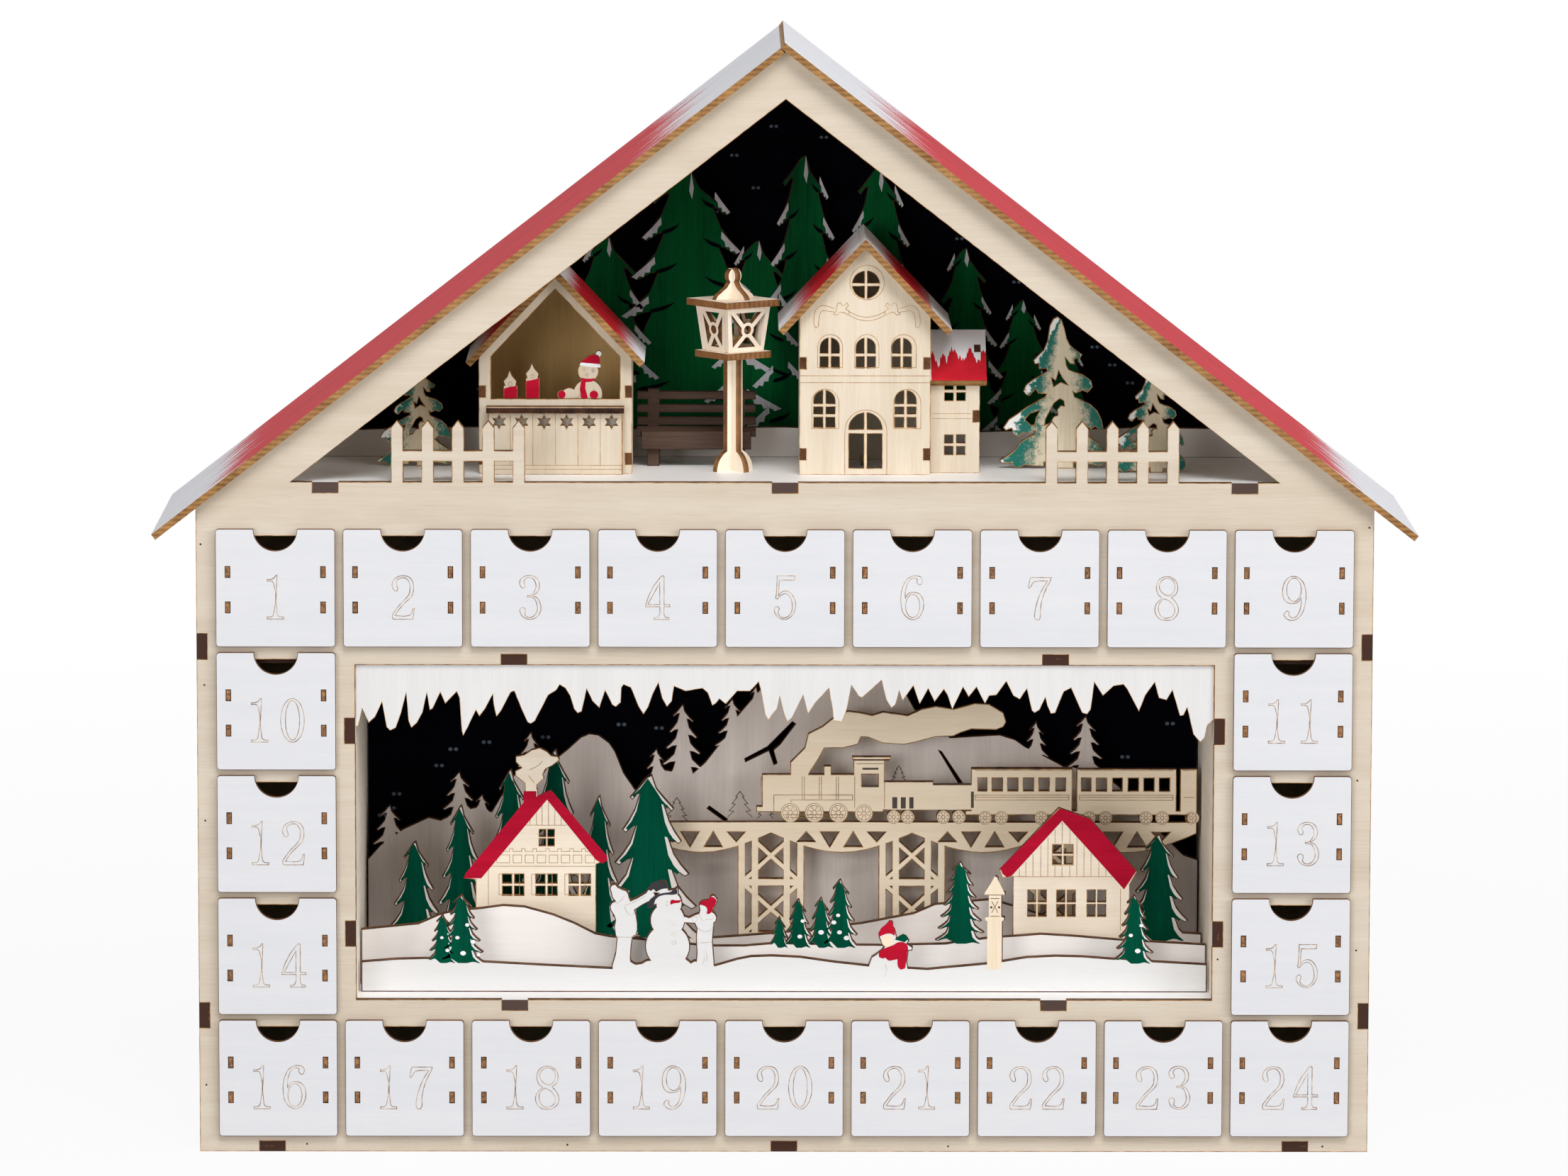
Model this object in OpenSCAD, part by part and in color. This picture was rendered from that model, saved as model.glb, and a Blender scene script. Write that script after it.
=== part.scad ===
// Wooden advent calendar in the form of a house: drawers round a snow scene, an open attic above.
// The front faces -Y. The origin is on the table, at the middle of the roof's footprint.

/* [Case] */
// Thickness of the case's plywood boards
board_t = 3.8; // [3.4:0.1:4.2]
// Depth over the front and the back panel
body_d = 106; // [100:1:112]
// Side margin between the outer drawer fronts and the panel's edge
side_rim = 7.1; // [5:0.1:8]
// Height of the lowest drawer fronts above the table
base_rise = 6; // [5:0.1:7]
// Margin above the top row's pitch, up to the eaves
top_rim = 5.3; // [4.4:0.1:7]
// Width of the tabs that lock the boards together
tab_w = 9.2; // [7:0.1:11]
// Free play between loose boards and what they stand in
board_play = 0.5; // [0.4:0.1:1]
// Width that the cutting beam takes, so that narrower slits close
beam = 0.08; // [0.05:0.01:0.12]

/* [Roof] */
// Overhang of the roof at the walls
eave_out = 15.5; // [12:0.5:19]
// Overhang of the roof at the front and the back
verge_out = 5.5; // [3:0.5:8]
// Thickness of the roof boards
roof_t = 2.4; // [2:0.1:3]
// Slope of the roof in degrees
roof_pitch = 37.8; // [36:0.1:40]
// Width of the front panel's band along the slope
gable_band = 13.4; // [12:0.1:16]
// Height of the attic floor's top above the eaves
attic_rise = 9.2; // [7:0.1:10]

/* [Drawers] */
// Width of a drawer front
front_w = 42.4; // [41.5:0.1:43]
// Height of a drawer front
front_h = 42.2; // [41:0.1:42.5]
// Thickness of a drawer front
front_t = 2; // [1.6:0.1:2.4]
// Gap between neighbouring fronts, sideways
front_gap_x = 2.9; // [2:0.1:4]
// Gap between neighbouring fronts, upwards
front_gap_z = 2.1; // [1.6:0.1:3]
// Corner radius of a front
front_r = 1.2; // [0.6:0.1:2]
// Width of the finger notch
notch_w = 15.6; // [13:0.1:18]
// Depth of the finger notch
notch_d = 7.8; // [6.6:0.1:8.2]
// Outer width of a tray
tray_w = 35.5; // [34:0.1:36]
// Height of a tray
tray_h = 33; // [30:0.5:34]
// Free depth between the trays and the back panel, for the lights
lights_room = 18.4; // [17:0.2:28]
// Thickness of a tray's plywood
tray_t = 1.6; // [1.4:0.1:2]
// Margin of the panel's window behind each front, at the sides and below
window_rim = 2.7; // [2.4:0.1:3]
// Running clearance of a drawer
slide_gap = 0.3; // [0.25:0.05:0.4]
// Height of a tenon through the front
tenon_h = 3.9; // [3:0.1:5]
// Depth of the upper tenon below the front's top
tenon_drop = 13.4; // [12:0.1:14]
// Pitch of the two tenons
tenon_pitch = 12.7; // [10:0.1:14]
// Glue line between the pieces of one small assembly
glue = 0.05; // [0.04:0.01:0.1]

/* [Snow scene] */
// Margin between the drawer fronts' pitch and the stage opening, at the sides
stage_rim = 5.4; // [4.6:0.1:6.4]
// The same margin below the stage opening
stage_sill = 5; // [4.6:0.1:6]
// The same margin above the stage opening
stage_head = 6.7; // [6:0.1:8]
// Thickness of the scene's boards
layer_t = 3; // [2.4:0.1:3.4]
// Recess of the icicle board behind the front
icicle_recess = 1; // [0.6:0.1:1.4]
// Place of the nearest snow bank, as a share of the case's depth from its front
near_snow_share = 0.15; // [0.13:0.01:0.17]
// Place of the second snow bank
mid_snow_share = 0.28; // [0.26:0.01:0.31]
// Place of the cottages
cottages_share = 0.42; // [0.4:0.01:0.45]
// Place of the row of firs
firs_share = 0.56; // [0.54:0.01:0.59]
// Place of the railway
railway_share = 0.7; // [0.67:0.01:0.72]
// Place of the mountains
mountains_share = 0.82; // [0.8:0.01:0.84]
// Distance of the eye for which the layers are drawn
eye_y = 3000; // [2800:10:3400]
// Height of that eye above the table
eye_z = 609; // [560:1:660]
// Place of that eye across
eye_x = -20; // [-40:1:40]
// Upward stretch of the drawing, as the eye looks down on it
stretch_share = 1.013; // [1:0.001:1.03]

/* [Attic] */
// Thickness of the small attic boards
thin_t = 2.4; // [2:0.1:2.8]
// Height of the fence's tips above the attic floor
fence_h = 22; // [18:0.5:24]
// Width of a picket
picket_w = 4.3; // [3.5:0.1:5]
// Pitch of the pickets
picket_pitch = 10.8; // [9:0.1:12]
// Distance of the fence's inner picket from the middle
fence_x = 92.5; // [90:0.5:94]
// Width of the stall
stall_w = 54.8; // [50:0.2:58]
// Depth of the stall, as a share of the case's depth
stall_deep_share = 0.396; // [0.35:0.002:0.41]
// Eaves height of the stall
stall_h = 42; // [38:0.5:44]
// Slope of the stall's roof in degrees
stall_pitch = 46.5; // [44:0.5:48]
// Place of the stall's middle
stall_x = -82.1; // [-84:0.1:-80]
// Place of the stall's front, as a share of the case's depth from its front
stall_share = 0.236; // [0.22:0.002:0.26]
// Height of the stall's counter
counter_h = 27; // [24:0.5:29]
// Width of the town house
house_w = 46.8; // [44:0.2:48]
// Depth of the town house, as a share of the case's depth
house_deep_share = 0.453; // [0.4:0.001:0.47]
// Eaves height of the town house
house_h = 57; // [54:0.5:58]
// Slope of the town house's roof in degrees
house_pitch = 46.6; // [46:0.2:49]
// Place of the town house's middle
house_x = 28.6; // [27:0.2:30]
// Place of the house's front
house_share = 0.217; // [0.2:0.001:0.24]
// Overhang of the small roofs at front and back
small_eave = 6; // [4:0.5:8]
// Overhang of the town house's roof at the sides
side_eave = 5.8; // [4:0.2:7]
// Overhang of the stall's roof at the sides
stall_eave = 2.8; // [2.4:0.2:5]
// Width of the annex beside the town house
annex_w = 17.8; // [16:0.2:19]
// Depth of the annex, as a share of the case's depth
annex_deep_share = 0.208; // [0.2:0.002:0.24]
// Front height of the annex
annex_h = 33; // [30:0.5:36]
// Rise of the annex's roof towards the back
annex_rise = 14.5; // [12:0.5:14.5]
// Place of the lantern
lantern_x = -18.6; // [-20:0.2:-16]
// Place of the lantern's post
lantern_share = 0.34; // [0.32:0.01:0.36]
// Turn of the lantern about its post, in degrees
lantern_turn = 37; // [30:1:45]
// Height of the lantern's post
post_h = 41; // [38:0.5:44]
// Width of the post's boards
post_w = 6.8; // [5.5:0.1:8]
// Radius of the post's quarter-round feet
foot_r = 8; // [6.5:0.1:9]
// Side of the lantern's bottom plate
cage_foot_w = 19.5; // [18:0.1:21]
// Side of the lantern's top plate
cage_cap_w = 23.8; // [22:0.1:25]
// Height of the lantern's lattice
cage_h = 16; // [14:0.5:18]
// Height of the finial above the top plate
finial_h = 11; // [9:0.5:12]
// Width of the bench
bench_w = 43; // [38:0.5:44]
// Height of the bench's back
bench_h = 26.6; // [24:0.2:28]
// Depth of the bench's seat
seat_d = 13; // [10:0.5:15]
// Gap between the stall and the bench
bench_gap = 1.4; // [1:0.1:2]
// Place of the bench's back
bench_share = 0.585; // [0.55:0.005:0.6]
// Height of the tallest attic fir
fir_h = 55; // [50:0.5:57]
// Place of the attic hill
hill_share = 0.726; // [0.71:0.002:0.744]
// Place of the attic forest
forest_share = 0.82; // [0.8:0.01:0.84]
// Height of the attic hill
hill_h = 11; // [9:0.5:13]

/* [Lights] */
// Width of the battery box
box_w = 66; // [60:1:70]
// Height of the battery box
box_h = 34; // [30:0.5:35]
// Depth of the battery box in front of the back panel's outer face
box_d = 21; // [19:0.5:22]
// Wall of the battery box
box_t = 1.6; // [1.4:0.1:2]
// Rim of the battery box behind the back panel
box_rim = 1.2; // [1:0.1:1.6]
// Thickness of the battery lid
lid_t = 1.6; // [1.2:0.1:2]
// Width of the switch's slot
switch_slot_w = 8; // [7:0.5:10]
// Radius of the light string's wire
wire_r = 0.8; // [0.6:0.1:1]
// Radius of a lamp
lamp_r = 1.5; // [1.2:0.1:1.8]

/* [Hidden] */

$fn = 48;
columns = 9;
rows = 5;
stage_columns = 7;
stage_rows = 3;
drawer_count = 24;

// Overrun of every cut past the faces that it goes through
over = board_t;

// The drawer grid
pitch_x = front_w + front_gap_x;
pitch_z = front_h + front_gap_z;
body_w = columns * pitch_x - front_gap_x + 2 * side_rim;
wall_h = base_rise + rows * pitch_z + top_rim;
roof_w = body_w + 2 * eave_out;
roof_d = body_d + 2 * verge_out;
front_y = -body_d / 2;
inner_y = front_y + board_t;
inner_d = body_d - 2 * board_t;
inner_w = body_w - 2 * board_t;
tray_d = inner_d - lights_room;
window_w = front_w - 2 * window_rim;
window_h = front_h - 2 * window_rim;

// The roof's underside meets above the middle at this height
roof_rise = tan(roof_pitch);
apex_z = wall_h + body_w / 2 * roof_rise;
attic_z = wall_h + attic_rise;
gable_z = apex_z - gable_band / cos(roof_pitch);
gable_half_w = (gable_z - attic_z) / roof_rise;
attic_half_w = (apex_z - attic_z) / roof_rise;

// The stage opening takes the place of the middle drawers
stage_w = stage_columns * pitch_x - 2 * stage_rim;
stage_h = stage_rows * pitch_z - stage_sill - stage_head;
stage_z = base_rise + pitch_z + stage_sill;
stage_top = stage_z + stage_h;

// The top row's trays stand on a shelf that fills the space above the stage's ceiling
first_sill = base_rise + window_rim;
top_sill = first_sill + (rows - 1) * pitch_z;
shelf_d = tray_d + board_t;

// The battery box, its lid and its switch
cell_w = box_w - 2 * slide_gap;
cell_h = box_h - 2 * slide_gap;
cell_z = first_sill + slide_gap;
lid_w = cell_w - switch_slot_w - 3 * box_t;
knob_x = cell_w / 2 - box_t - switch_slot_w;

// The wire's corner behind the drawers, and each lamp's place and height above the floor
lantern_y = front_y + lantern_share * body_d;
wire_x = -inner_w / 2 + board_t;
wire_y = (inner_y + shelf_d + body_d / 2 - board_t) / 2;
wire_z = attic_z - 2 * board_t;
wire_side = post_w / 2;
lamp_spots = [[stall_x, 0, lamp_r],
  [lantern_x, lantern_y + wire_side, post_h + thin_t + 2 * lamp_r],
  [house_x, 0, lamp_r]];

bench_x = stall_x + (stall_w + bench_w) / 2 + bench_gap;

// Depths and places of what stands in the attic
stall_d = stall_deep_share * body_d;
house_d = house_deep_share * body_d;
annex_d = annex_deep_share * body_d;
stall_y = front_y + stall_share * body_d;
house_y = front_y + house_share * body_d;
bench_y = front_y + bench_share * body_d;

function col_x(i) = (i - (columns - 1) / 2) * pitch_x;
function row_z(j) = base_rise + j * pitch_z;
// Numbers run along the top row, down both sides and along the bottom row
function drawer_cell(n) = n <= columns ? [n - 1, rows - 1]
  : n > drawer_count - columns ? [n - 1 - (drawer_count - columns), 0]
  : [n % 2 == 0 ? 0 : columns - 1, rows - 2 - floor((n - columns - 1) / 2)];
function two_digits(n) = str(n < 10 ? "0" : "", n);

// Places of the tabs along the boards, as shares of the width or height that they lock into
attic_tab_shares = [-0.39, 0, 0.39];
base_tab_shares = [-0.438, 0, 0.438];
wall_tab_shares = [0.213, 0.786];
side_tab_shares = [0.198, 0.803];
floor_tab_shares = [-0.315, 0.315];

attic_tabs = [for (s = attic_tab_shares) [s * body_w, attic_z - board_t / 2, tab_w, board_t]];
base_tabs = [for (s = base_tab_shares) [s * body_w, board_t / 2, tab_w, board_t]];
wall_x = (body_w - board_t) / 2;
wall_tabs = [for (s = wall_tab_shares) [wall_x, s * wall_h, board_t, tab_w]];
side_x = stage_w / 2 + board_t / 2;
side_tabs = [for (s = side_tab_shares) [side_x, stage_z + s * stage_h, board_t, tab_w]];
floor_tabs = [for (s = floor_tab_shares)
  [s * stage_w, stage_z - board_t / 2, tab_w, board_t]];
ceiling_tabs = [for (s = floor_tab_shares)
  [s * stage_w, stage_top + board_t / 2, tab_w, board_t]];

// The drawing grid of the scene: one unit is the stage's width over this count
stage_units = 1210;
unit = stage_w / stage_units;
// Height of the drawing's foot above the stage's floor
foot_share = 4;

// Outlines in shares of the drawing unit, across from the middle and up from the drawing's foot
icicle_shares = [[-605, 381], [-601, 383], [-597, 397], [-595, 407], [-586, 387], [-577, 395],
  [-567, 417], [-561, 381], [-556, 376], [-548, 380], [-540, 402], [-533, 430], [-530, 390],
  [-526, 380], [-518, 387], [-510, 402], [-504, 430], [-500, 405], [-496, 407], [-485, 430],
  [-478, 414], [-462, 431], [-458, 422], [-455, 377], [-453, 369], [-446, 382], [-435, 405],
  [-430, 396], [-422, 407], [-411, 428], [-410, 412], [-406, 396], [-399, 405], [-386, 430],
  [-381, 432], [-371, 407], [-362, 388], [-358, 386], [-352, 390], [-333, 426], [-322, 433],
  [-317, 441], [-309, 436], [-302, 425], [-297, 407], [-292, 401], [-286, 403], [-279, 435],
  [-271, 418], [-261, 408], [-253, 433], [-243, 413], [-238, 410], [-231, 416], [-230, 437],
  [-227, 441], [-217, 437], [-206, 410], [-199, 399], [-192, 410], [-186, 427], [-178, 444],
  [-173, 422], [-166, 410], [-159, 418], [-156, 439], [-140, 432], [-116, 436], [-109, 430],
  [-102, 412], [-97, 415], [-92, 421], [-83, 414], [-67, 432], [-49, 432], [-37, 445],
  [-33, 430], [-28, 400], [-23, 391], [-19, 397], [-11, 407], [-7, 425], [-1, 400], [4, 389],
  [11, 395], [26, 427], [31, 405], [33, 400], [44, 417], [62, 436], [67, 407], [69, 391],
  [81, 389], [87, 405], [94, 440], [104, 425], [109, 423], [136, 447], [143, 420], [150, 408],
  [156, 413], [161, 433], [166, 419], [181, 440], [190, 414], [202, 436], [211, 417],
  [224, 435], [229, 427], [236, 407], [251, 438], [259, 424], [270, 438], [282, 415],
  [288, 426], [298, 427], [312, 446], [322, 426], [331, 421], [341, 436], [348, 405],
  [352, 402], [359, 406], [367, 424], [370, 412], [375, 401], [381, 402], [393, 432],
  [403, 437], [413, 415], [419, 402], [426, 400], [431, 407], [436, 445], [448, 426],
  [463, 440], [477, 442], [482, 436], [499, 404], [508, 427], [521, 445], [527, 423],
  [538, 420], [546, 434], [554, 407], [557, 398], [562, 399], [567, 410], [576, 372],
  [586, 361], [592, 367], [596, 385], [605, 393]];

near_snow_shares = [[-598, 50], [-547, 54], [-507, 55], [-422, 50], [-347, 46], [-244, 41],
  [-217, 51], [-210, 47], [-202, 48], [-195, 52], [-187, 53], [-145, 53], [-139, 55],
  [-132, 49], [-127, 52], [-98, 45], [-67, 54], [-47, 58], [-17, 59], [23, 57], [73, 50],
  [119, 45], [203, 40],
  [233, 43], [288, 48], [343, 57], [383, 59], [423, 58], [462, 55], [524, 51], [598, 47]];
// Each tree: place, tip, width, foot and count of branch tiers
near_tree_shares = [[-455, 144, 68, 48, 6], [-482, 116, 46, 48, 5], [496, 145, 60, 48, 6]];
tall_child_shares = [[-247, 153], [-245, 148], [-244, 141], [-240, 136], [-244, 134],
  [-247, 129], [-246, 123], [-241, 115], [-239, 109], [-241, 99], [-239, 87], [-237, 84],
  [-239, 62], [-244, 45], [-244, 38], [-215, 38], [-217, 55], [-216, 72], [-214, 85],
  [-209, 88], [-207, 95], [-207, 105], [-209, 117], [-211, 123], [-202, 129], [-193, 134],
  [-180, 138], [-185, 152], [-193, 153], [-196, 148], [-208, 141], [-217, 137], [-219, 142],
  [-220, 147], [-223, 151], [-229, 153], [-235, 156], [-238, 160], [-242, 160], [-246, 157]];
small_child_shares = [[-121, 129], [-120, 133], [-117, 136], [-112, 137], [-106, 138],
  [-105, 143], [-101, 145], [-97, 143], [-94, 138], [-95, 132], [-98, 130], [-99, 125],
  [-101, 121], [-97, 118], [-95, 113], [-96, 107], [-99, 105], [-100, 92], [-101, 79],
  [-100, 67], [-99, 54], [-98, 38], [-126, 38], [-124, 62], [-125, 85], [-124, 97],
  [-127, 104], [-146, 105], [-146, 114], [-140, 115], [-135, 113], [-127, 117], [-121, 119],
  [-120, 124]];
low_child_shares = [[119, 38], [119, 46], [123, 57], [131, 62], [138, 67], [141, 72],
  [137, 77], [134, 84], [133, 89], [137, 96], [142, 100], [146, 104], [148, 107], [151, 108],
  [154, 106], [154, 100], [157, 95], [159, 87], [159, 83], [168, 88], [173, 86], [177, 80],
  [174, 76], [182, 71], [181, 66], [176, 66], [175, 58], [174, 51], [175, 45], [176, 36]];
// Each ball: place, height and radius
snowman_shares = [[-165, 72, 32], [-165, 109, 25], [-163, 132, 19]];
hat_shares = [[-194, 126], [-192, 134], [-186, 142], [-178, 147], [-196, 148], [-187, 158],
  [-175, 164], [-167, 164], [-163, 152], [-155, 153], [-151, 157], [-149, 151], [-150, 143]];
lamp_shares = [[293, 40], [293, 109], [289, 109], [289, 114], [294, 114], [294, 145],
  [288, 145], [288, 149], [291, 149], [298, 164], [297, 169], [300, 172], [303, 169],
  [302, 164], [310, 149], [313, 149], [313, 145], [308, 145], [308, 114], [312, 114],
  [312, 109], [309, 109], [309, 40]];

mid_snow_shares = [[-598, 96], [-517, 104], [-487, 117], [-467, 122], [-427, 126],
  [-397, 130], [-367, 128], [-327, 117], [-297, 105], [-267, 90], [-247, 86], [-202, 82],
  [-107, 73], [-57, 73], [-22, 76], [138, 74], [173, 75], [228, 76], [293, 85], [323, 87],
  [363, 90], [413, 87], [473, 82], [598, 75]];
mid_tree_shares = [[-6, 114, 30, 70, 3], [21, 139, 44, 70, 4], [53, 141, 44, 70, 4],
  [80, 167, 56, 70, 5], [250, 192, 74, 76, 7]];

// The left cottage, its smoke, windows and the lines of its roof
left_cottage_shares = [[-452, 168], [-368, 273], [-330, 292], [-250, 194], [-266, 188],
  [-266, -20], [-436, -20], [-436, 166]];
left_chimney_shares = [[-366, 240], [-366, 294], [-348, 294], [-348, 240]];
left_smoke_shares = [[-366, 288], [-366, 302], [-379, 312], [-380, 319], [-371, 324],
  [-379, 332], [-379, 340], [-367, 342], [-357, 349], [-345, 352], [-335, 347], [-329, 341],
  [-320, 340], [-317, 335], [-327, 327], [-337, 322], [-341, 315], [-339, 309], [-349, 300],
  [-349, 288]];
cottage_bank_shares = [[-560, 60], [-430, 70], [-270, 64], [0, 50], [310, 64], [500, 70],
  [560, 60]];
// Each window: lower left corner, width, height, panes across and panes up
left_window_shares = [[-346, 214, 21, 23, 2, 2], [-398, 144, 30, 30, 2, 2],
  [-351, 144, 30, 30, 2, 2], [-304, 144, 30, 30, 2, 2]];
right_cottage_shares = [[304, 180], [308, 169], [323, 171], [323, -20], [488, -20],
  [488, 160], [498, 178], [431, 253], [387, 268]];
right_window_shares = [[379, 188, 28, 28, 2, 2], [344, 115, 26, 37, 2, 2],
  [385, 115, 26, 37, 2, 2], [428, 115, 26, 37, 2, 2]];

// Width of a spruce between two tiers, as a share of its reach there
fir_waist_share = 0.55;
row_snow_shares = [[-598, 90], [-300, 86], [-202, 84], [-107, 84], [0, 92], [109, 105],
  [183, 119], [213, 132], [293, 139], [323, 130], [420, 100], [598, 90]];
row_tree_shares = [[-520, 220, 78, 88, 4], [-455, 271, 80, 84, 5], [-385, 322, 90, 84, 6],
  [-322, 350, 96, 84, 6], [-260, 285, 70, 84, 5], [-187, 314, 148, 84, 5],
  [530, 231, 96, 80, 5]];

// The railway: the deck, its piers and the train's boxes as left, bottom, right and top
deck_shares = [-168, 236, 582, 248];
pier_shares = [-19, 180, 380];
pier_half_share = 47;
post_share = 11;
arc_drop_share = 35;
pier_bar_shares = [82, 157, 232];
train_box_shares = [[-32, 268, 99, 315], [55, 313, 66, 327], [97, 268, 141, 338],
  [95, 336, 150, 340], [140, 265, 210, 305], [205, 265, 266, 301], [263, 262, 406, 323],
  [412, 262, 553, 323], [558, 262, 582, 323], [-40, 262, 140, 270], [255, 258, 582, 264]];
train_wheel_shares = [[8, 261, 14], [42, 261, 14], [76, 261, 14], [112, 260, 13],
  [154, 255, 10], [174, 255, 10], [224, 255, 10], [246, 255, 10], [283, 254, 10],
  [306, 254, 10], [362, 254, 10], [430, 254, 10], [453, 254, 10], [510, 254, 10],
  [533, 254, 10], [577, 254, 9]];
train_window_shares = [[109, 298, 132, 315], [273, 292, 285, 310], [293, 292, 307, 310],
  [315, 292, 329, 310], [337, 292, 351, 310], [359, 292, 373, 310], [383, 292, 396, 310],
  [419, 292, 432, 310], [440, 292, 454, 310], [463, 292, 476, 310], [485, 292, 499, 310],
  [507, 292, 521, 310], [529, 292, 543, 310]];
plume_shares = [[8, 312], [8, 332], [13, 337], [28, 352], [33, 372], [53, 382], [68, 394],
  [88, 404], [106, 402], [123, 398], [138, 403], [173, 398], [193, 407], [213, 411],
  [238, 407], [268, 415], [288, 414], [308, 402], [312, 389], [308, 382], [298, 378],
  [263, 379], [248, 374], [238, 369], [213, 368], [183, 360], [168, 357], [138, 359],
  [118, 367], [108, 368], [103, 357], [83, 352], [56, 352], [48, 337], [38, 322], [33, 312]];

ridge_shares = [[-598, 190], [-586, 197], [-570, 215], [-539, 237], [-502, 254], [-485, 250],
  [-460, 262], [-436, 268], [-413, 262], [-390, 300], [-372, 327], [-322, 337], [-307, 349],
  [-287, 367], [-275, 372], [-262, 370], [-247, 359], [-239, 347], [-227, 317], [-210, 292],
  [-199, 307], [-175, 322], [-131, 315], [-112, 332], [-86, 364], [-67, 397], [-30, 440],
  [40, 500], [130, 500], [183, 407], [210, 385], [233, 367], [303, 371], [325, 364],
  [338, 355], [393, 327], [440, 322], [470, 300], [493, 277], [530, 235], [563, 202],
  [598, 190]];
peak_waist_share = 0.4;
peak_tree_shares = [[-556, 271, 62, 190, 4], [-458, 318, 60, 240, 4], [-426, 286, 38, 245, 3],
  [-357, 374, 40, 320, 3], [-180, 351, 46, 285, 4], [-143, 413, 70, 300, 5],
  [-73, 421, 52, 350, 4], [-40, 439, 34, 390, 3], [355, 389, 44, 325, 4],
  [425, 397, 66, 300, 5]];
crack_shares = [[[11, 389], [15, 386], [-7, 357], [-16, 349], [-11, 331], [-15, 329],
  [-22, 349], [-55, 333], [-56, 337], [-24, 354]],
  [[-106, 270], [-81, 252], [-83, 248], [-109, 267]],
  [[217, 349], [221, 347], [250, 304], [246, 302]]];

// The attic's forest, up from the attic floor
forest_tree_shares = [[-132, 432, 290, 50, 7], [-247, 342, 190, 50, 6],
  [-37, 337, 180, 50, 6], [28, 455, 170, 60, 7], [133, 442, 170, 60, 7],
  [253, 327, 140, 60, 6], [333, 255, 120, 60, 5], [395, 200, 100, 60, 4]];
forest_foot_shares = [[-340, 70], [-250, 102], [-120, 108], [0, 96], [120, 104],
  [260, 96], [420, 70]];
hill_top_shares = [0.8, 0.86, 0.98, 1, 0.92, 0.96, 1, 0.9, 0.84, 0.92, 1, 0.95, 0.82];

// The attic fir's outline and cuts, in shares of its height in this count of units
fir_units = 216;
attic_fir_shares = [[-8, 216], [-14, 213], [-19, 203], [-22, 182], [-28, 168], [-42, 154],
  [-40, 148], [-35, 149], [-34, 141], [-24, 142], [-22, 139], [-31, 133], [-42, 127],
  [-52, 119], [-56, 110], [-52, 105], [-47, 103], [-43, 108], [-38, 113], [-35, 107],
  [-23, 106], [-25, 102], [-33, 98], [-50, 88], [-64, 78], [-76, 70], [-84, 58],
  [-80, 54], [-72, 57], [-69, 49], [-63, 45], [-56, 51], [-46, 49], [-38, 54], [-39, 49],
  [-49, 44], [-60, 37], [-66, 28], [-73, 21], [-89, 12], [-86, 7], [-72, 8], [-67, 0],
  [-58, 2], [-54, 5], [-42, 3], [-26, 3], [-26, 9], [-11, 9], [-11, 0], [16, 0], [16, 8],
  [38, 6], [48, 3], [56, 5], [62, 14], [60, 26], [50, 36], [36, 46], [26, 54], [34, 61],
  [40, 56], [46, 60], [53, 54], [58, 57], [55, 70], [49, 82], [40, 91], [28, 97], [17, 102],
  [14, 110], [18, 107], [28, 111], [35, 108], [42, 116], [40, 125], [28, 134], [17, 137],
  [8, 141], [5, 147], [3, 158], [10, 149], [17, 148], [16, 156], [24, 157], [27, 162],
  [19, 168], [10, 175], [5, 185], [2, 198], [-2, 211]];
attic_fir_cut_shares = [[[-6, 139], [-1, 129], [7, 119], [-3, 123], [-13, 117], [-16, 129],
  [-10, 124], [-8, 131]],
  [[-4, 99], [1, 96], [2, 89], [-3, 90], [-8, 84], [-7, 76], [-13, 74], [-18, 65],
  [-25, 62], [-24, 70], [-18, 82], [-12, 93]],
  [[-32, 83], [-46, 78], [-53, 70], [-45, 62], [-40, 62], [-38, 72]]];
// Each fir: place across and depth as shares of the case, and height as a share of the tallest
attic_fir_places_shares = [[0.239, 0.405, 1], [0.3175, 0.29, 0.7], [-0.312, 0.455, 0.71]];

// The bench's legs across, its back slats up and the height of a slat
leg_shares = [-0.36, 0.36];
slat_shares = [0.56, 0.73, 0.91];
slat_share = 0.11;

// The stall's planks, stars and goods
plank_count = 6;
star_points = 6;
star_r_share = 0.045;
star_rise_share = 0.855;
// Each candle: place across and height, then its width and its flame's outline
candle_shares = [[0.16, 0.12], [0.305, 0.17]];
candle_w_share = 0.088;
flame_shares = [[-0.035, 0], [-0.045, 0.03], [-0.02, 0.06], [-0.005, 0.1], [0.015, 0.06],
  [0.04, 0.03], [0.035, 0]];
// The small snowman: balls, hat with its bobble, and where it stands
doll_shares = [[0, 0.066, 0.096], [-0.12, 0.05, 0.055], [-0.172, 0.062, 0.028],
  [0.003, 0.214, 0.068], [0.072, 0.33, 0.019]];
doll_hat_shares = [[-0.055, 0.25], [0.085, 0.235], [0.083, 0.26], [0.078, 0.3], [0.07, 0.325],
  [0.03, 0.325], [-0.02, 0.3], [-0.045, 0.275]];
doll_x_share = 0.71;

// The house's windows: middle across, bottom and width and height as shares, then panes
arch_window_shares = [[-0.27, 0.675, 0.15, 0.19, 2], [0.005, 0.675, 0.15, 0.19, 2],
  [0.28, 0.675, 0.15, 0.19, 2], [-0.31, 0.3, 0.165, 0.235, 3], [0.31, 0.3, 0.165, 0.235, 3]];
round_window_shares = [0.005, 1.2, 0.105];
door_share = [0.005, 0.32, 0.4];
annex_window_shares = [[0.5, 0.79, 0.42, 0.21], [0.5, 0.2, 0.42, 0.22]];
bar_share = 0.045;
// Corner joints of the small houses: heights of their fingers, and of the annex's
finger_shares = [0.13, 0.705];
annex_finger_share = 0.62;
finger_h = 1.7 * thin_t;

// One outline from shapes that overlap, with slits narrower than the beam closed
module cut_out() {
  offset(delta = -beam) offset(delta = beam) children();
}

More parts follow.
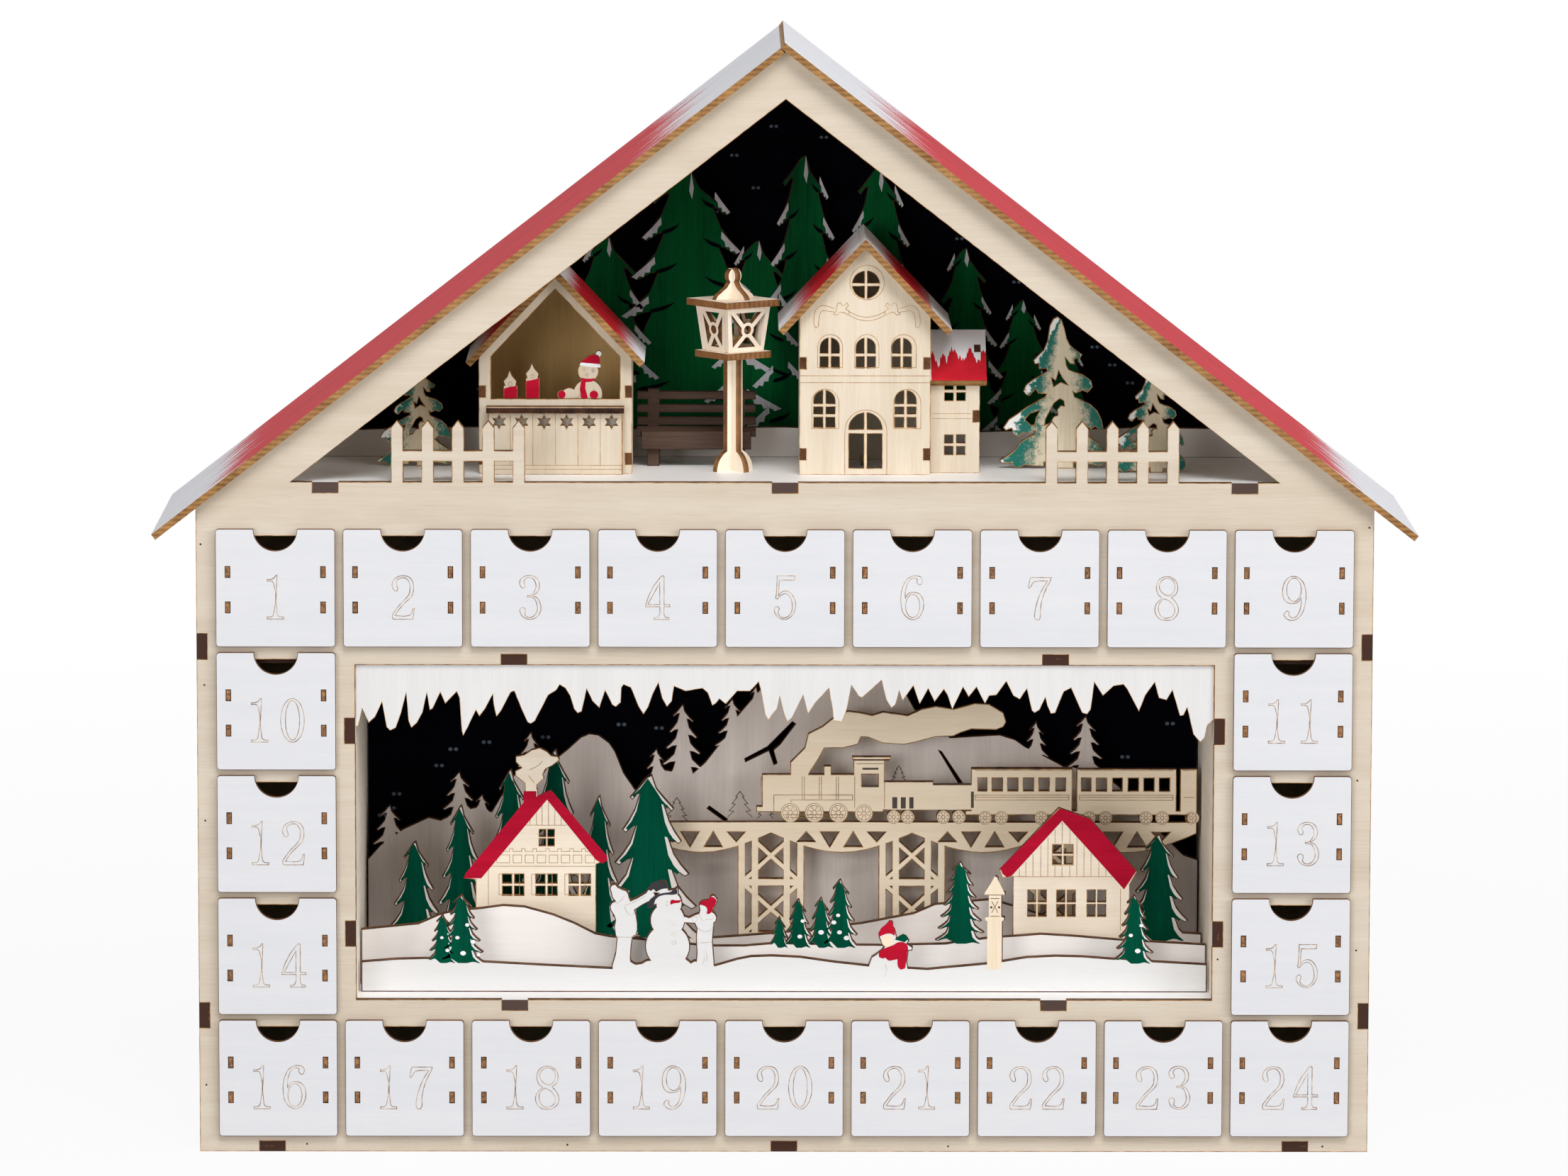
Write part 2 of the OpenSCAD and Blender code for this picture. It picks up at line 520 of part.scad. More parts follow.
// A board that stands across the case, cut from a flat outline
module upright(y, t) {
  translate([0, y + t, 0]) rotate([90, 0, 0]) linear_extrude(t) children();
}

// A board that stands along the case, at a place across
module sideways(x, t) {
  translate([x, 0, 0]) rotate([90, 0, 90]) linear_extrude(t) children();
}

module pair() {
  children();
  mirror([1, 0, 0]) children();
}

// Rectangles by middle and size
module tab_faces(tabs, mirrored = false, play = 0) {
  for (t = tabs, side = mirrored ? [-1, 1] : [1])
    translate([side * t[0], t[1]]) square([t[2] + play, t[3] + play], center = true);
}

// The tabs themselves pass through both panels
module tab_blocks(tabs) {
  for (y = [front_y, body_d / 2 - board_t]) upright(y, board_t) tab_faces(tabs);
}

module gable_outline() {
  polygon([[-body_w / 2, 0], [body_w / 2, 0], [body_w / 2, wall_h], [0, apex_z],
    [-body_w / 2, wall_h]]);
}

module all_tab_faces() {
  tab_faces(attic_tabs);
  tab_faces(base_tabs);
  tab_faces(wall_tabs, true);
  tab_faces(side_tabs, true);
  tab_faces(floor_tabs);
  tab_faces(ceiling_tabs);
}

module picket_fence(start) {
  rail_h = fence_h * 0.17;
  span = 4 * picket_pitch + picket_w;
  for (i = [0 : 4])
    translate([start + i * picket_pitch, attic_z - over])
      polygon([[0, 0], [picket_w, 0], [picket_w, over + fence_h * 0.88],
        [picket_w / 2, over + fence_h], [0, over + fence_h * 0.88]]);
  translate([start, attic_z + fence_h * 0.34]) square([span, rail_h]);
}

// Case
module front_panel() {
  color("BurlyWood") upright(front_y, board_t) {
    difference() {
      gable_outline();
      for (n = [1 : drawer_count]) {
        cell = drawer_cell(n);
        translate([col_x(cell.x) - window_w / 2, row_z(cell.y) + window_rim])
          square([window_w, window_h]);
      }
      translate([-stage_w / 2, stage_z]) square([stage_w, stage_h]);
      difference() {
        polygon([[-gable_half_w, attic_z], [gable_half_w, attic_z], [0, gable_z]]);
        pair() picket_fence(fence_x);
      }
      all_tab_faces();
    }
  }
}

module back_panel() {
  color("BurlyWood") upright(body_d / 2 - board_t, board_t) difference() {
    gable_outline();
    translate([-box_w / 2, first_sill]) square([box_w, box_h]);
    all_tab_faces();
  }
}

module side_wall() {
  color("BurlyWood") {
    upright(inner_y, inner_d) polygon([[body_w / 2 - board_t, 0], [body_w / 2, 0],
      [body_w / 2, wall_h], [body_w / 2 - board_t, wall_h + board_t * roof_rise]]);
    tab_blocks(wall_tabs);
  }
}

module base_board() {
  color("BurlyWood") {
    translate([-inner_w / 2, inner_y, 0]) cube([inner_w, inner_d, board_t]);
    tab_blocks(base_tabs);
  }
}

module attic_floor() {
  color("white") difference() {
    union() {
      translate([-attic_half_w, inner_y, attic_z - board_t])
        cube([2 * attic_half_w, inner_d, board_t]);
      tab_blocks(attic_tabs);
    }
    for (p = lamp_spots) translate([p.x, p.y, attic_z - 2 * board_t]) wire_hole();
  }
}

// A roof board lies on the right slope and starts at a distance from the underside's apex
module roof_board(start) {
  length = (roof_w / 2 - roof_t * sin(roof_pitch)) / cos(roof_pitch) - start;
  color("FireBrick") translate([0, 0, apex_z]) rotate([0, roof_pitch, 0])
    translate([start, -roof_d / 2, 0]) cube([length, roof_d, roof_t]);
}

module roof_left() {
  mirror([1, 0, 0]) roof_board(roof_t * (1 / sin(2 * roof_pitch) - roof_rise));
}

module roof_right() {
  roof_board(-roof_t / sin(2 * roof_pitch));
}

module stage_ceiling() {
  color("Wheat") {
    difference() {
      translate([-inner_w / 2, inner_y, stage_top]) cube([inner_w, inner_d, board_t]);
      translate([wire_x, wire_y, stage_top - board_t]) wire_hole();
    }
    tab_blocks(ceiling_tabs);
  }
}

module stage_floor() {
  color("Wheat") {
    translate([-stage_w / 2 - board_t, inner_y, stage_z - board_t])
      cube([stage_w + 2 * board_t, inner_d, board_t]);
    tab_blocks(floor_tabs);
  }
}

module stage_side_walls() {
  color("Wheat") pair() sideways(stage_w / 2, board_t) {
    translate([inner_y, stage_z]) square([inner_d, stage_h]);
    for (t = side_tabs) translate([front_y, t[1] - t[3] / 2]) square([body_d, t[3]]);
  }
}

// Each tray runs on a shelf whose top lies level with the panel's window
module drawer_shelves() {
  bay_w = (inner_w - stage_w) / 2 - board_t;
  color("Tan") {
    translate([-inner_w / 2, inner_y, board_t])
      cube([inner_w, shelf_d, first_sill - board_t]);
    translate([-inner_w / 2, inner_y, stage_top + board_t])
      cube([inner_w, shelf_d, top_sill - stage_top - board_t]);
    pair() for (j = [1 : stage_rows])
      translate([inner_w / 2 - bay_w, inner_y, first_sill + j * pitch_z - board_t])
        cube([bay_w, shelf_d, board_t]);
  }
}

module drawer_dividers() {
  color("Tan") for (i = [1 : columns - 1], j = [0, rows - 1])
    translate([col_x(i) - pitch_x / 2 - board_t / 2, inner_y, first_sill + j * pitch_z])
      cube([board_t, tray_d - board_t, window_h]);
}

// A rectangle with round corners that stands on its lower edge
module rounded(w, h, r) {
  translate([-w / 2, r]) square([w, h - 2 * r]);
  translate([-w / 2 + r, 0]) square([w - 2 * r, h]);
  for (x = [-1, 1], z = [r, h - r]) translate([x * (w / 2 - r), z]) circle(r);
}

// Drawers, each drawn with its front's back face at y = 0 and its lower edge at z = 0
module notch() {
  r = notch_w / 2;
  translate([0, front_h - notch_d + r]) circle(r);
  translate([-r, front_h - notch_d + r]) square([notch_w, notch_d]);
}

module drawer_front() {
  upright(-front_t, front_t) difference() {
    rounded(front_w, front_h, front_r);
    notch();
    for (x = [-1, 1], k = [0, 1])
      translate([x * (tray_w - tray_t) / 2, front_h - tenon_drop - k * tenon_pitch - tenon_h / 2])
        square([tray_t + 2 * glue, tenon_h + 2 * glue], center = true);
  }
}

module tray_side() {
  translate([tray_w / 2 - tray_t, glue, window_rim + slide_gap])
    cube([tray_t, tray_d - glue, tray_h]);
  for (k = [0, 1])
    translate([tray_w / 2 - tray_t, -front_t, front_h - tenon_drop - k * tenon_pitch - tenon_h])
      cube([tray_t, front_t + tray_t, tenon_h]);
}

module drawer(n) {
  cell = drawer_cell(n);
  clear_w = tray_w - 2 * tray_t - 2 * glue;
  floor_z = window_rim + slide_gap;
  color("WhiteSmoke") translate([col_x(cell.x), front_y - slide_gap, row_z(cell.y)]) {
    drawer_front();
    pair() tray_side();
    translate([-clear_w / 2, glue, floor_z]) cube([clear_w, tray_d - glue, tray_t]);
    translate([-clear_w / 2, tray_d - tray_t, floor_z + tray_t + glue])
      cube([clear_w, tray_t, tray_h - tray_t - glue]);
  }
}

// Scene: a drawing on the front's plane, above a height there, is set back along the sight lines
module set_back(depth, z) {
  grow = 1 + depth / eye_y;
  translate([-eye_x * (grow - 1), z * grow - eye_z * (grow - 1)])
    scale([grow * unit, grow * unit * stretch_share]) children();
}

module layer(depth) {
  free_w = stage_w - 2 * board_play;
  upright(front_y + depth, layer_t) intersection() {
    translate([-free_w / 2, stage_z]) square([free_w, stage_h - board_play]);
    cut_out() set_back(depth, stage_z) translate([0, foot_share]) children();
  }
}

// Ground under a line of points, down past the layer's foot
module ground(top) {
  polygon(concat(top, [[top[len(top) - 1].x, -stage_units / 9], [top[0].x, -stage_units / 9]]));
}

module boxes(list) {
  for (b = list) translate([b[0], b[1]]) square([b[2] - b[0], b[3] - b[1]]);
}

module discs(list) {
  for (d = list) translate([d[0], d[1]]) circle(d[2], $fn = 32);
}

// One side of a spruce, from its tip down: each tier swells out to a drooping branch end
function spruce_side(w, h, tiers, waist, lift) = [for (i = [0 : tiers - 1])
  let (f = (i + 1) / tiers, reach = w / 2 * (0.28 + 0.72 * f), step = h / tiers,
    z = h * (1 - f) + lift * step, slim = i == 0 ? 0.6 : 1)
  each [[reach * (waist + 0.04) * slim * slim, z + step * 0.58],
    [reach * (0.5 + 0.5 * waist) * sqrt(slim), z + step * 0.26],
    [reach, z - step * 0.04], [reach * 0.88, z - step * 0.12],
    [reach * (0.38 + 0.5 * waist), z + step * 0.06], [reach * waist, z + step * 0.08]]];

function mirrored(list) = [for (i = [len(list) - 1 : -1 : 0]) [-list[i].x, list[i].y]];

module spruces(list, waist) {
  for (t = list) {
    right = spruce_side(t[2], t[1] - t[3], t[4], waist, 0);
    left = spruce_side(t[2], t[1] - t[3], t[4], waist, 0.35);
    trunk = t[2] * 0.09;
    translate([t[0], t[3]]) polygon(concat([[0, t[1] - t[3]]], right,
      [[trunk, 0], [trunk, -t[3] / 8], [-trunk, -t[3] / 8], [-trunk, 0]], mirrored(left)));
  }
}

// A window's panes, left open between glazing bars
module panes(w, h, across, up, bar) {
  for (i = [0 : across - 1], j = [0 : up - 1])
    translate([i * (w + bar) / across, j * (h + bar) / up])
      square([(w + bar) / across - bar, (h + bar) / up - bar]);
}

module window_panes(list) {
  for (v = list) translate([v[0], v[1]]) panes(v[2], v[3], v[4], v[5], v[2] / 7);
}

module icicle_valance() {
  top = stage_h / unit;
  color("WhiteSmoke") upright(front_y + icicle_recess, board_t - icicle_recess)
    intersection() {
      translate([-stage_w / 2, stage_z]) square([stage_w, stage_h]);
      cut_out() set_back(icicle_recess, stage_z) translate([0, foot_share])
        polygon(concat(icicle_shares, [[stage_units / 2, top], [-stage_units / 2, top]]));
    }
}

module snow_front() {
  color("WhiteSmoke") layer(near_snow_share * body_d) {
    ground(near_snow_shares);
    spruces(near_tree_shares, fir_waist_share);
    polygon(tall_child_shares);
    polygon(small_child_shares);
    polygon(low_child_shares);
    discs(snowman_shares);
    polygon(hat_shares);
    polygon(lamp_shares);
  }
}

module snow_middle() {
  color("WhiteSmoke") layer(mid_snow_share * body_d) {
    ground(mid_snow_shares);
    spruces(mid_tree_shares, fir_waist_share);
  }
}

module cottages() {
  color("Wheat") layer(cottages_share * body_d) {
    difference() {
      union() {
        polygon(left_cottage_shares);
        polygon(left_chimney_shares);
        polygon(left_smoke_shares);
      }
      window_panes(left_window_shares);
    }
    difference() {
      polygon(right_cottage_shares);
      window_panes(right_window_shares);
    }
    ground(cottage_bank_shares);
  }
}

module fir_row() {
  color("SeaGreen") layer(firs_share * body_d) {
    ground(row_snow_shares);
    spruces(row_tree_shares, fir_waist_share);
  }
}

// A pier: two posts on each side of a core, crossed braces and bars between them
module pier() {
  half = pier_half_share;
  for (x = [-half, -half * 0.6, half * 0.36, half - post_share])
    translate([x, 0]) square([post_share, deck_shares[3]]);
  for (z = pier_bar_shares) translate([-half, z]) square([2 * half, post_share]);
  for (k = [0, 1], s = [-1, 1]) {
    low = pier_bar_shares[k] + post_share / 2;
    high = pier_bar_shares[k + 1] + post_share / 2;
    polygon([[-s * half, low], [-s * (half - post_share), low], [s * half, high],
      [s * (half - post_share), high]]);
  }
}

// The truss hangs from the deck in an arc between two piers
module truss(left, right) {
  span = right - left;
  top = deck_shares[3];
  steps = 12;
  outer = [for (i = [0 : steps]) let (f = i / steps)
    [left + f * span, top - arc_drop_share * (0.46 + 0.78 * sin(180 * f))]];
  polygon(concat(outer, [[right, top], [left, top]]));
}

module truss_cuts(left, right) {
  span = right - left;
  top = deck_shares[1];
  cells = 6;
  for (i = [1 : cells - 2]) {
    x = left + (i + 0.12) * span / cells;
    w = span / cells * 0.76;
    drop = arc_drop_share * (0.78 * sin(180 * (i + 0.5) / cells) - 0.1);
    edge = top - post_share / 5;
    polygon(i % 2 == 0 ? [[x, edge], [x + w, edge], [x + w / 2, top - drop]]
      : [[x, top - drop], [x + w, top - drop], [x + w / 2, edge]]);
  }
}

module railway() {
  spans = [deck_shares[0] - pier_half_share, pier_shares[0], pier_shares[1], pier_shares[2],
    deck_shares[2]];
  color("Wheat") layer(railway_share * body_d) difference() {
    union() {
      boxes([deck_shares]);
      for (x = pier_shares) translate([x, 0]) pier();
      intersection() {
        for (i = [0 : len(spans) - 2]) truss(spans[i], spans[i + 1]);
        translate([deck_shares[0], 0]) square([deck_shares[2] - deck_shares[0], stage_units]);
      }
      boxes(train_box_shares);
      discs(train_wheel_shares);
      polygon(plume_shares);
    }
    for (i = [0 : len(spans) - 2]) truss_cuts(spans[i], spans[i + 1]);
    boxes(train_window_shares);
  }
}

module mountains() {
  color("LightGray") layer(mountains_share * body_d) difference() {
    union() {
      ground(ridge_shares);
      spruces(peak_tree_shares, peak_waist_share);
    }
    for (c = crack_shares) polygon(c);
  }
}

// Attic: the boards behind fill the gable under the roof
module attic_space(play) {
  half = attic_half_w - play;
  polygon([[-half, attic_z], [half, attic_z], [0, attic_z + half * roof_rise]]);
}

module night_skies() {
  y = body_d / 2 - board_t - layer_t;
  free_w = stage_w - 2 * board_play;
  color("MidnightBlue") {
    upright(y, layer_t) translate([-free_w / 2, stage_z]) square([free_w, stage_h - board_play]);
    upright(y, layer_t) attic_space(2 * board_play);
  }
}

module attic_layer(depth) {
  upright(front_y + depth, layer_t) intersection() {
    attic_space(2 * board_play);
    cut_out() set_back(depth, attic_z) children();
  }
}

module attic_forest() {
  color("DarkGreen") attic_layer(forest_share * body_d) {
    ground(forest_foot_shares);
    spruces(forest_tree_shares, fir_waist_share);
  }
}

module attic_hill() {
  count = len(hill_top_shares) - 1;
  color("LightGray") upright(front_y + hill_share * body_d, layer_t) intersection() {
    attic_space(2 * board_play);
    polygon(concat(
      [for (i = [0 : count])
        [(2 * i / count - 1) * attic_half_w, attic_z + hill_h * hill_top_shares[i]]],
      [[attic_half_w, attic_z], [-attic_half_w, attic_z]]));
  }
}

module attic_firs() {
  color("Wheat") for (f = attic_fir_places_shares) {
    size = fir_h * f[2] / fir_units;
    upright(front_y + f[1] * body_d, thin_t)
      translate([f[0] * body_w, attic_z]) scale(size) difference() {
        polygon(attic_fir_shares);
        for (c = attic_fir_cut_shares) polygon(c);
      }
  }
}

// Bench: a slatted back, a seat and two leg frames
module bench() {
  leg = bench_w * 0.1;
  y = bench_y;
  seat_z = bench_h * 0.4;
  color("DimGray") translate([bench_x, 0, attic_z]) {
    upright(y, thin_t) {
      for (x = leg_shares) translate([x * bench_w - leg / 2, 0]) square([leg, bench_h]);
      for (z = slat_shares)
        translate([-bench_w / 2, (z - slat_share / 2) * bench_h])
          square([bench_w, slat_share * bench_h]);
    }
    translate([-bench_w / 2, y - seat_d - glue, seat_z])
      cube([bench_w, seat_d, thin_t]);
    for (x = leg_shares)
      translate([x * bench_w - leg / 2, y - seat_d, 0])
        cube([leg, thin_t, seat_z - glue]);
    translate([-bench_w * 0.46, y - seat_d - glue - thin_t, seat_z - leg])
      cube([bench_w * 0.92, thin_t, leg + thin_t]);
  }
}

// A gabled wall's outline on its own floor
module gabled(w, h, pitch) {
  polygon([[-w / 2, 0], [w / 2, 0], [w / 2, h], [0, h + w / 2 * tan(pitch)], [-w / 2, h]]);
}

// Cuts in a gable wall for the fingers of the side walls
module finger_cuts(w, h) {
  for (x = [-1, 1], f = finger_shares) translate([x * (w - thin_t) / 2, f * h])
    square([thin_t + 2 * glue, finger_h + 2 * glue], center = true);
}

// Side walls between two gable walls, with fingers through both
module side_boards(w, h, d) {
  pair() {
    translate([w / 2 - thin_t, thin_t + glue, 0])
      cube([thin_t, d - 2 * thin_t - 2 * glue, h]);
    for (f = finger_shares)
      translate([w / 2 - thin_t, 0, f * h - finger_h / 2]) cube([thin_t, d, finger_h]);
  }
}

// The stall
module stall_walls() {
  y = stall_y;
  inset = thin_t * 1.8;
  color("Wheat") translate([stall_x, 0, attic_z]) {
    upright(y, thin_t) difference() {
      gabled(stall_w, stall_h, stall_pitch);
      intersection() {
        translate([-stall_w / 2 + inset, counter_h]) square([stall_w - 2 * inset, stall_w]);
        translate([0, -inset]) gabled(stall_w, stall_h, stall_pitch);
      }
      finger_cuts(stall_w, stall_h);
    }
    upright(y + stall_d - thin_t, thin_t) difference() {
      gabled(stall_w, stall_h, stall_pitch);
      finger_cuts(stall_w, stall_h);
    }
    translate([0, y, 0]) side_boards(stall_w, stall_h, stall_d);
  }
}

module star(r) {
  polygon([for (i = [0 : 2 * star_points - 1])
    let (a = 180 * i / star_points, q = i % 2 == 0 ? r : r * 0.55) [q * sin(a), q * cos(a)]]);
}

// The counter's front, its shelf and the goods that stand on the shelf
module stall_counter() {
  y = stall_y;
  shelf_w = stall_w * 0.9;
  apron_w = stall_w * 0.88;
  apron_h = counter_h - 2 * thin_t;
  pitch = apron_w / plank_count;
  color("Wheat") translate([stall_x, 0, attic_z]) {
    upright(y - thin_t - glue, thin_t) difference() {
      translate([-apron_w / 2, 0]) square([apron_w, apron_h]);
      for (i = [0 : plank_count - 1])
        translate([(i - (plank_count - 1) / 2) * pitch, apron_h * star_rise_share])
          star(stall_w * star_r_share);
    }
    translate([-shelf_w / 2, y - 2 * thin_t, apron_h + glue])
      cube([shelf_w, 2 * thin_t - glue, thin_t]);
    translate([-stall_w / 2 + 2 * thin_t, y + thin_t + glue, apron_h + glue])
      cube([stall_w - 4 * thin_t, stall_d / 4, thin_t]);
    upright(y + 2 * thin_t, thin_t) translate([-stall_w / 2, apron_h + thin_t + 2 * glue]) {
      cut_out() scale(stall_w) {
        for (c = candle_shares) translate([c[0], 0]) {
          square([candle_w_share, c[1]]);
          translate([candle_w_share / 2, c[1] - glue / stall_w]) polygon(flame_shares);
        }
        translate([doll_x_share, 0]) intersection() {
          union() {
            discs(doll_shares);
            polygon(doll_hat_shares);
          }
          translate([-doll_x_share, 0]) square(1);
        }
      }
    }
  }
}

// Two boards on a small gable; one laps over the other at the ridge
module small_roof(w, h, d, pitch, eave) {
  rise = h + w / 2 * tan(pitch);
  length = (w / 2 + eave) / cos(pitch);
  lap = thin_t / sin(2 * pitch);
  butt = max(0, lap - thin_t * tan(pitch)) + glue;
  translate([0, 0, rise + glue]) {
    rotate([0, pitch, 0]) translate([-lap, 0, 0]) cube([length + lap, d, thin_t]);
    mirror([1, 0, 0]) rotate([0, pitch, 0]) translate([butt, 0, 0])
      cube([length - butt, d, thin_t]);
  }
}

module stall_roof() {
  color("FireBrick") translate([stall_x, stall_y - small_eave, attic_z])
    small_roof(stall_w, stall_h, stall_d + 2 * small_eave, stall_pitch, stall_eave);
}

// The lantern's two crossed boards, each slotted half way
module post_board() {
  translate([-post_w / 2, 0]) square([post_w, post_h]);
  intersection() {
    translate([-foot_r, 0]) square([2 * foot_r, foot_r]);
    union() {
      circle(foot_r);
      square([2 * foot_r, foot_r / 4], center = true);
    }
  }
}

module finial_board() {
  w = cage_cap_w * 0.36;
  polygon([[-w, 0], [w, 0], [w * 0.9, finial_h * 0.12], [w * 0.4, finial_h * 0.38],
    [w * 0.24, finial_h * 0.55], [-w * 0.24, finial_h * 0.55], [-w * 0.4, finial_h * 0.38],
    [-w * 0.9, finial_h * 0.12]]);
  translate([0, finial_h * 0.74]) circle(finial_h * 0.26);
}

// Crosses two boards at a right angle: the first keeps its foot, the second its head
module crossed(h) {
  slot = thin_t + 2 * glue;
  difference() {
    upright(-thin_t / 2, thin_t) children();
    translate([-slot / 2, -thin_t, h / 2]) cube([slot, 2 * thin_t, h]);
  }
  rotate([0, 0, 90]) difference() {
    upright(-thin_t / 2, thin_t) children();
    translate([-slot / 2, -thin_t, -h / 2 + glue]) cube([slot, 2 * thin_t, h]);
  }
}

module at_lantern() {
  translate([lantern_x, lantern_y, attic_z]) rotate([0, 0, lantern_turn]) children();
}

module lantern_post() {
  color("Wheat") at_lantern() crossed(post_h) post_board();
}

// A lattice panel: a tapered frame with crossed bars and a ring
module lattice(low, high, bar) {
  mid = cage_h / 2;
  ring = cage_h * 0.17;
  difference() {
    polygon([[-low, 0], [low, 0], [high, cage_h], [-high, cage_h]]);
    difference() {
      polygon([[-low + bar, bar], [low - bar, bar], [high - bar, cage_h - bar],
        [-high + bar, cage_h - bar]]);
      circle_at(mid, ring);
      for (s = [-1, 1])
        polygon([[-s * low, 0], [-s * (low - bar * 1.3), 0], [s * high, cage_h],
          [s * (high - bar * 1.3), cage_h]]);
    }
    circle_at(mid, ring * 0.58);
  }
}

module circle_at(z, r) {
  translate([0, z]) circle(r);
}

module lantern_cage() {
  low = cage_foot_w * 0.4;
  high = cage_cap_w * 0.4;
  lean = atan((high - low) / cage_h);
  bar = thin_t * 0.7;
  wall = thin_t * 0.8;
  inset = wall / cos(lean) + glue;
  color("Wheat") at_lantern() translate([0, 0, post_h + glue]) {
    difference() {
      translate([-cage_foot_w / 2, -cage_foot_w / 2, 0])
        cube([cage_foot_w, cage_foot_w, thin_t]);
      rotate([0, 0, -lantern_turn]) translate([0, wire_side, -over]) wire_hole();
    }
    for (a = [0, 180]) rotate([0, 0, a]) translate([0, -low, thin_t + glue])
      rotate([lean, 0, 0]) translate([0, wall, 0]) rotate([90, 0, 0])
        linear_extrude(wall) lattice(low, high, bar);
    for (a = [90, 270]) rotate([0, 0, a]) translate([0, -low, thin_t + glue])
      rotate([lean, 0, 0]) translate([0, wall, 0]) rotate([90, 0, 0])
        linear_extrude(wall) lattice(low - inset, high - inset, bar);
    translate([0, 0, thin_t + cage_h * cos(lean) + wall * sin(lean) + 2 * glue]) {
      translate([-cage_cap_w / 2, -cage_cap_w / 2, 0]) cube([cage_cap_w, cage_cap_w, thin_t]);
      translate([0, 0, thin_t + glue]) crossed(finial_h) finial_board();
    }
  }
}

// The town house
module arch(w, h) {
  translate([-w / 2, 0]) square([w, h - w / 2]);
  translate([0, h - w / 2]) circle(w / 2);
}

module arched_panes(w, h, up) {
  bar = house_w * bar_share / 2;
  difference() {
    arch(w, h);
    translate([-bar / 2, 0]) square([bar, h]);
    for (j = [1 : up - 1]) translate([-w / 2, j * h / (up + 0.6)]) square([w, bar]);
  }
}

module house_front() {
  difference() {
    gabled(house_w, house_h, house_pitch);
    for (v = arch_window_shares)
      translate([v[0] * house_w, v[1] * house_h])
        arched_panes(v[2] * house_w, v[3] * house_h, v[4]);
    translate([round_window_shares[0] * house_w, round_window_shares[1] * house_h])
      difference() {
        circle(round_window_shares[2] * house_w);
        square([house_w, house_w * bar_share / 2], center = true);
        square([house_w * bar_share / 2, house_w], center = true);
      }
    translate([door_share[0] * house_w, thin_t])
      difference() {
        arch(door_share[1] * house_w * 0.8, door_share[2] * house_h * 0.88);
        translate([0, house_h]) square([house_w * bar_share / 2, 2 * house_h], center = true);
        translate([0, door_share[2] * house_h * 0.58])
          square([house_w, house_w * bar_share * 0.7], center = true);
      }
    finger_cuts(house_w, house_h);
  }
}

module annex_front() {
  difference() {
    square([annex_w, annex_h]);
    for (v = annex_window_shares)
      translate([v[0] * annex_w - v[2] * annex_w / 2, v[1] * annex_h])
        panes(v[2] * annex_w, v[3] * annex_h, 2, 2, house_w * bar_share / 2);
    translate([annex_w - thin_t / 2, annex_finger_share * annex_h])
      square([thin_t + 2 * glue, finger_h + 2 * glue], center = true);
  }
}

module house_walls() {
  y = house_y;
  annex_y = y + small_eave;
  annex_x = house_w / 2 + glue;
  color("Wheat") translate([house_x, 0, attic_z]) {
    upright(y, thin_t) house_front();
    upright(y + house_d - thin_t, thin_t) difference() {
      gabled(house_w, house_h, house_pitch);
      finger_cuts(house_w, house_h);
    }
    translate([0, y, 0]) side_boards(house_w, house_h, house_d);
    upright(annex_y, thin_t) translate([annex_x, 0]) annex_front();
    sideways(annex_x + annex_w - thin_t, thin_t) {
      polygon([[annex_y + thin_t + glue, 0], [annex_y + annex_d, 0],
        [annex_y + annex_d, annex_h + annex_rise],
        [annex_y + thin_t + glue, annex_h + annex_rise * thin_t / annex_d]]);
      translate([annex_y, annex_finger_share * annex_h - finger_h / 2])
        square([annex_d, finger_h]);
    }
  }
}

module house_roof() {
  y = house_y;
  annex_pitch = atan(annex_rise / annex_d);
  color("FireBrick") translate([house_x, 0, attic_z]) {
    translate([0, y - small_eave, 0])
      small_roof(house_w, house_h, house_d + 2 * small_eave, house_pitch, side_eave);
    translate([house_w / 2 + glue, y + small_eave, annex_h + glue])
      rotate([annex_pitch, 0, 0]) translate([0, -thin_t, 0])
        cube([annex_w + thin_t, thin_t + annex_d / cos(annex_pitch), thin_t]);
  }
}

// Lights
module wire_hole() {
  cylinder(r = wire_r + slide_gap, h = 3 * over);
}

// A wire along one axis from a point, with a round end
module wire(from, to) {
  run = to - from;
  length = norm(run);
  translate(from) {
    sphere(wire_r, $fn = 24);
    rotate([0, acos(run.z / length), atan2(run.y, run.x)])
      cylinder(r = wire_r, h = length, $fn = 24);
  }
}

// One wire climbs behind the left drawers; a branch under the attic floor feeds each lamp
module light_string() {
  box_side = -box_w / 2 + slide_gap;
  low_z = first_sill + box_h / 2;
  color("Gold") {
    wire([wire_x, wire_y, low_z], [box_side, wire_y, low_z]);
    wire([wire_x, wire_y, wire_z], [wire_x, wire_y, low_z]);
    wire([lamp_spots[2].x, wire_y, wire_z], [wire_x, wire_y, wire_z]);
    for (p = lamp_spots) {
      top = attic_z + p.z;
      wire([p.x, wire_y, wire_z], [p.x, p.y, wire_z]);
      wire([p.x, p.y, wire_z], [p.x, p.y, top]);
      translate([p.x, p.y, top + lamp_r / 2]) sphere(lamp_r, $fn = 24);
    }
  }
}

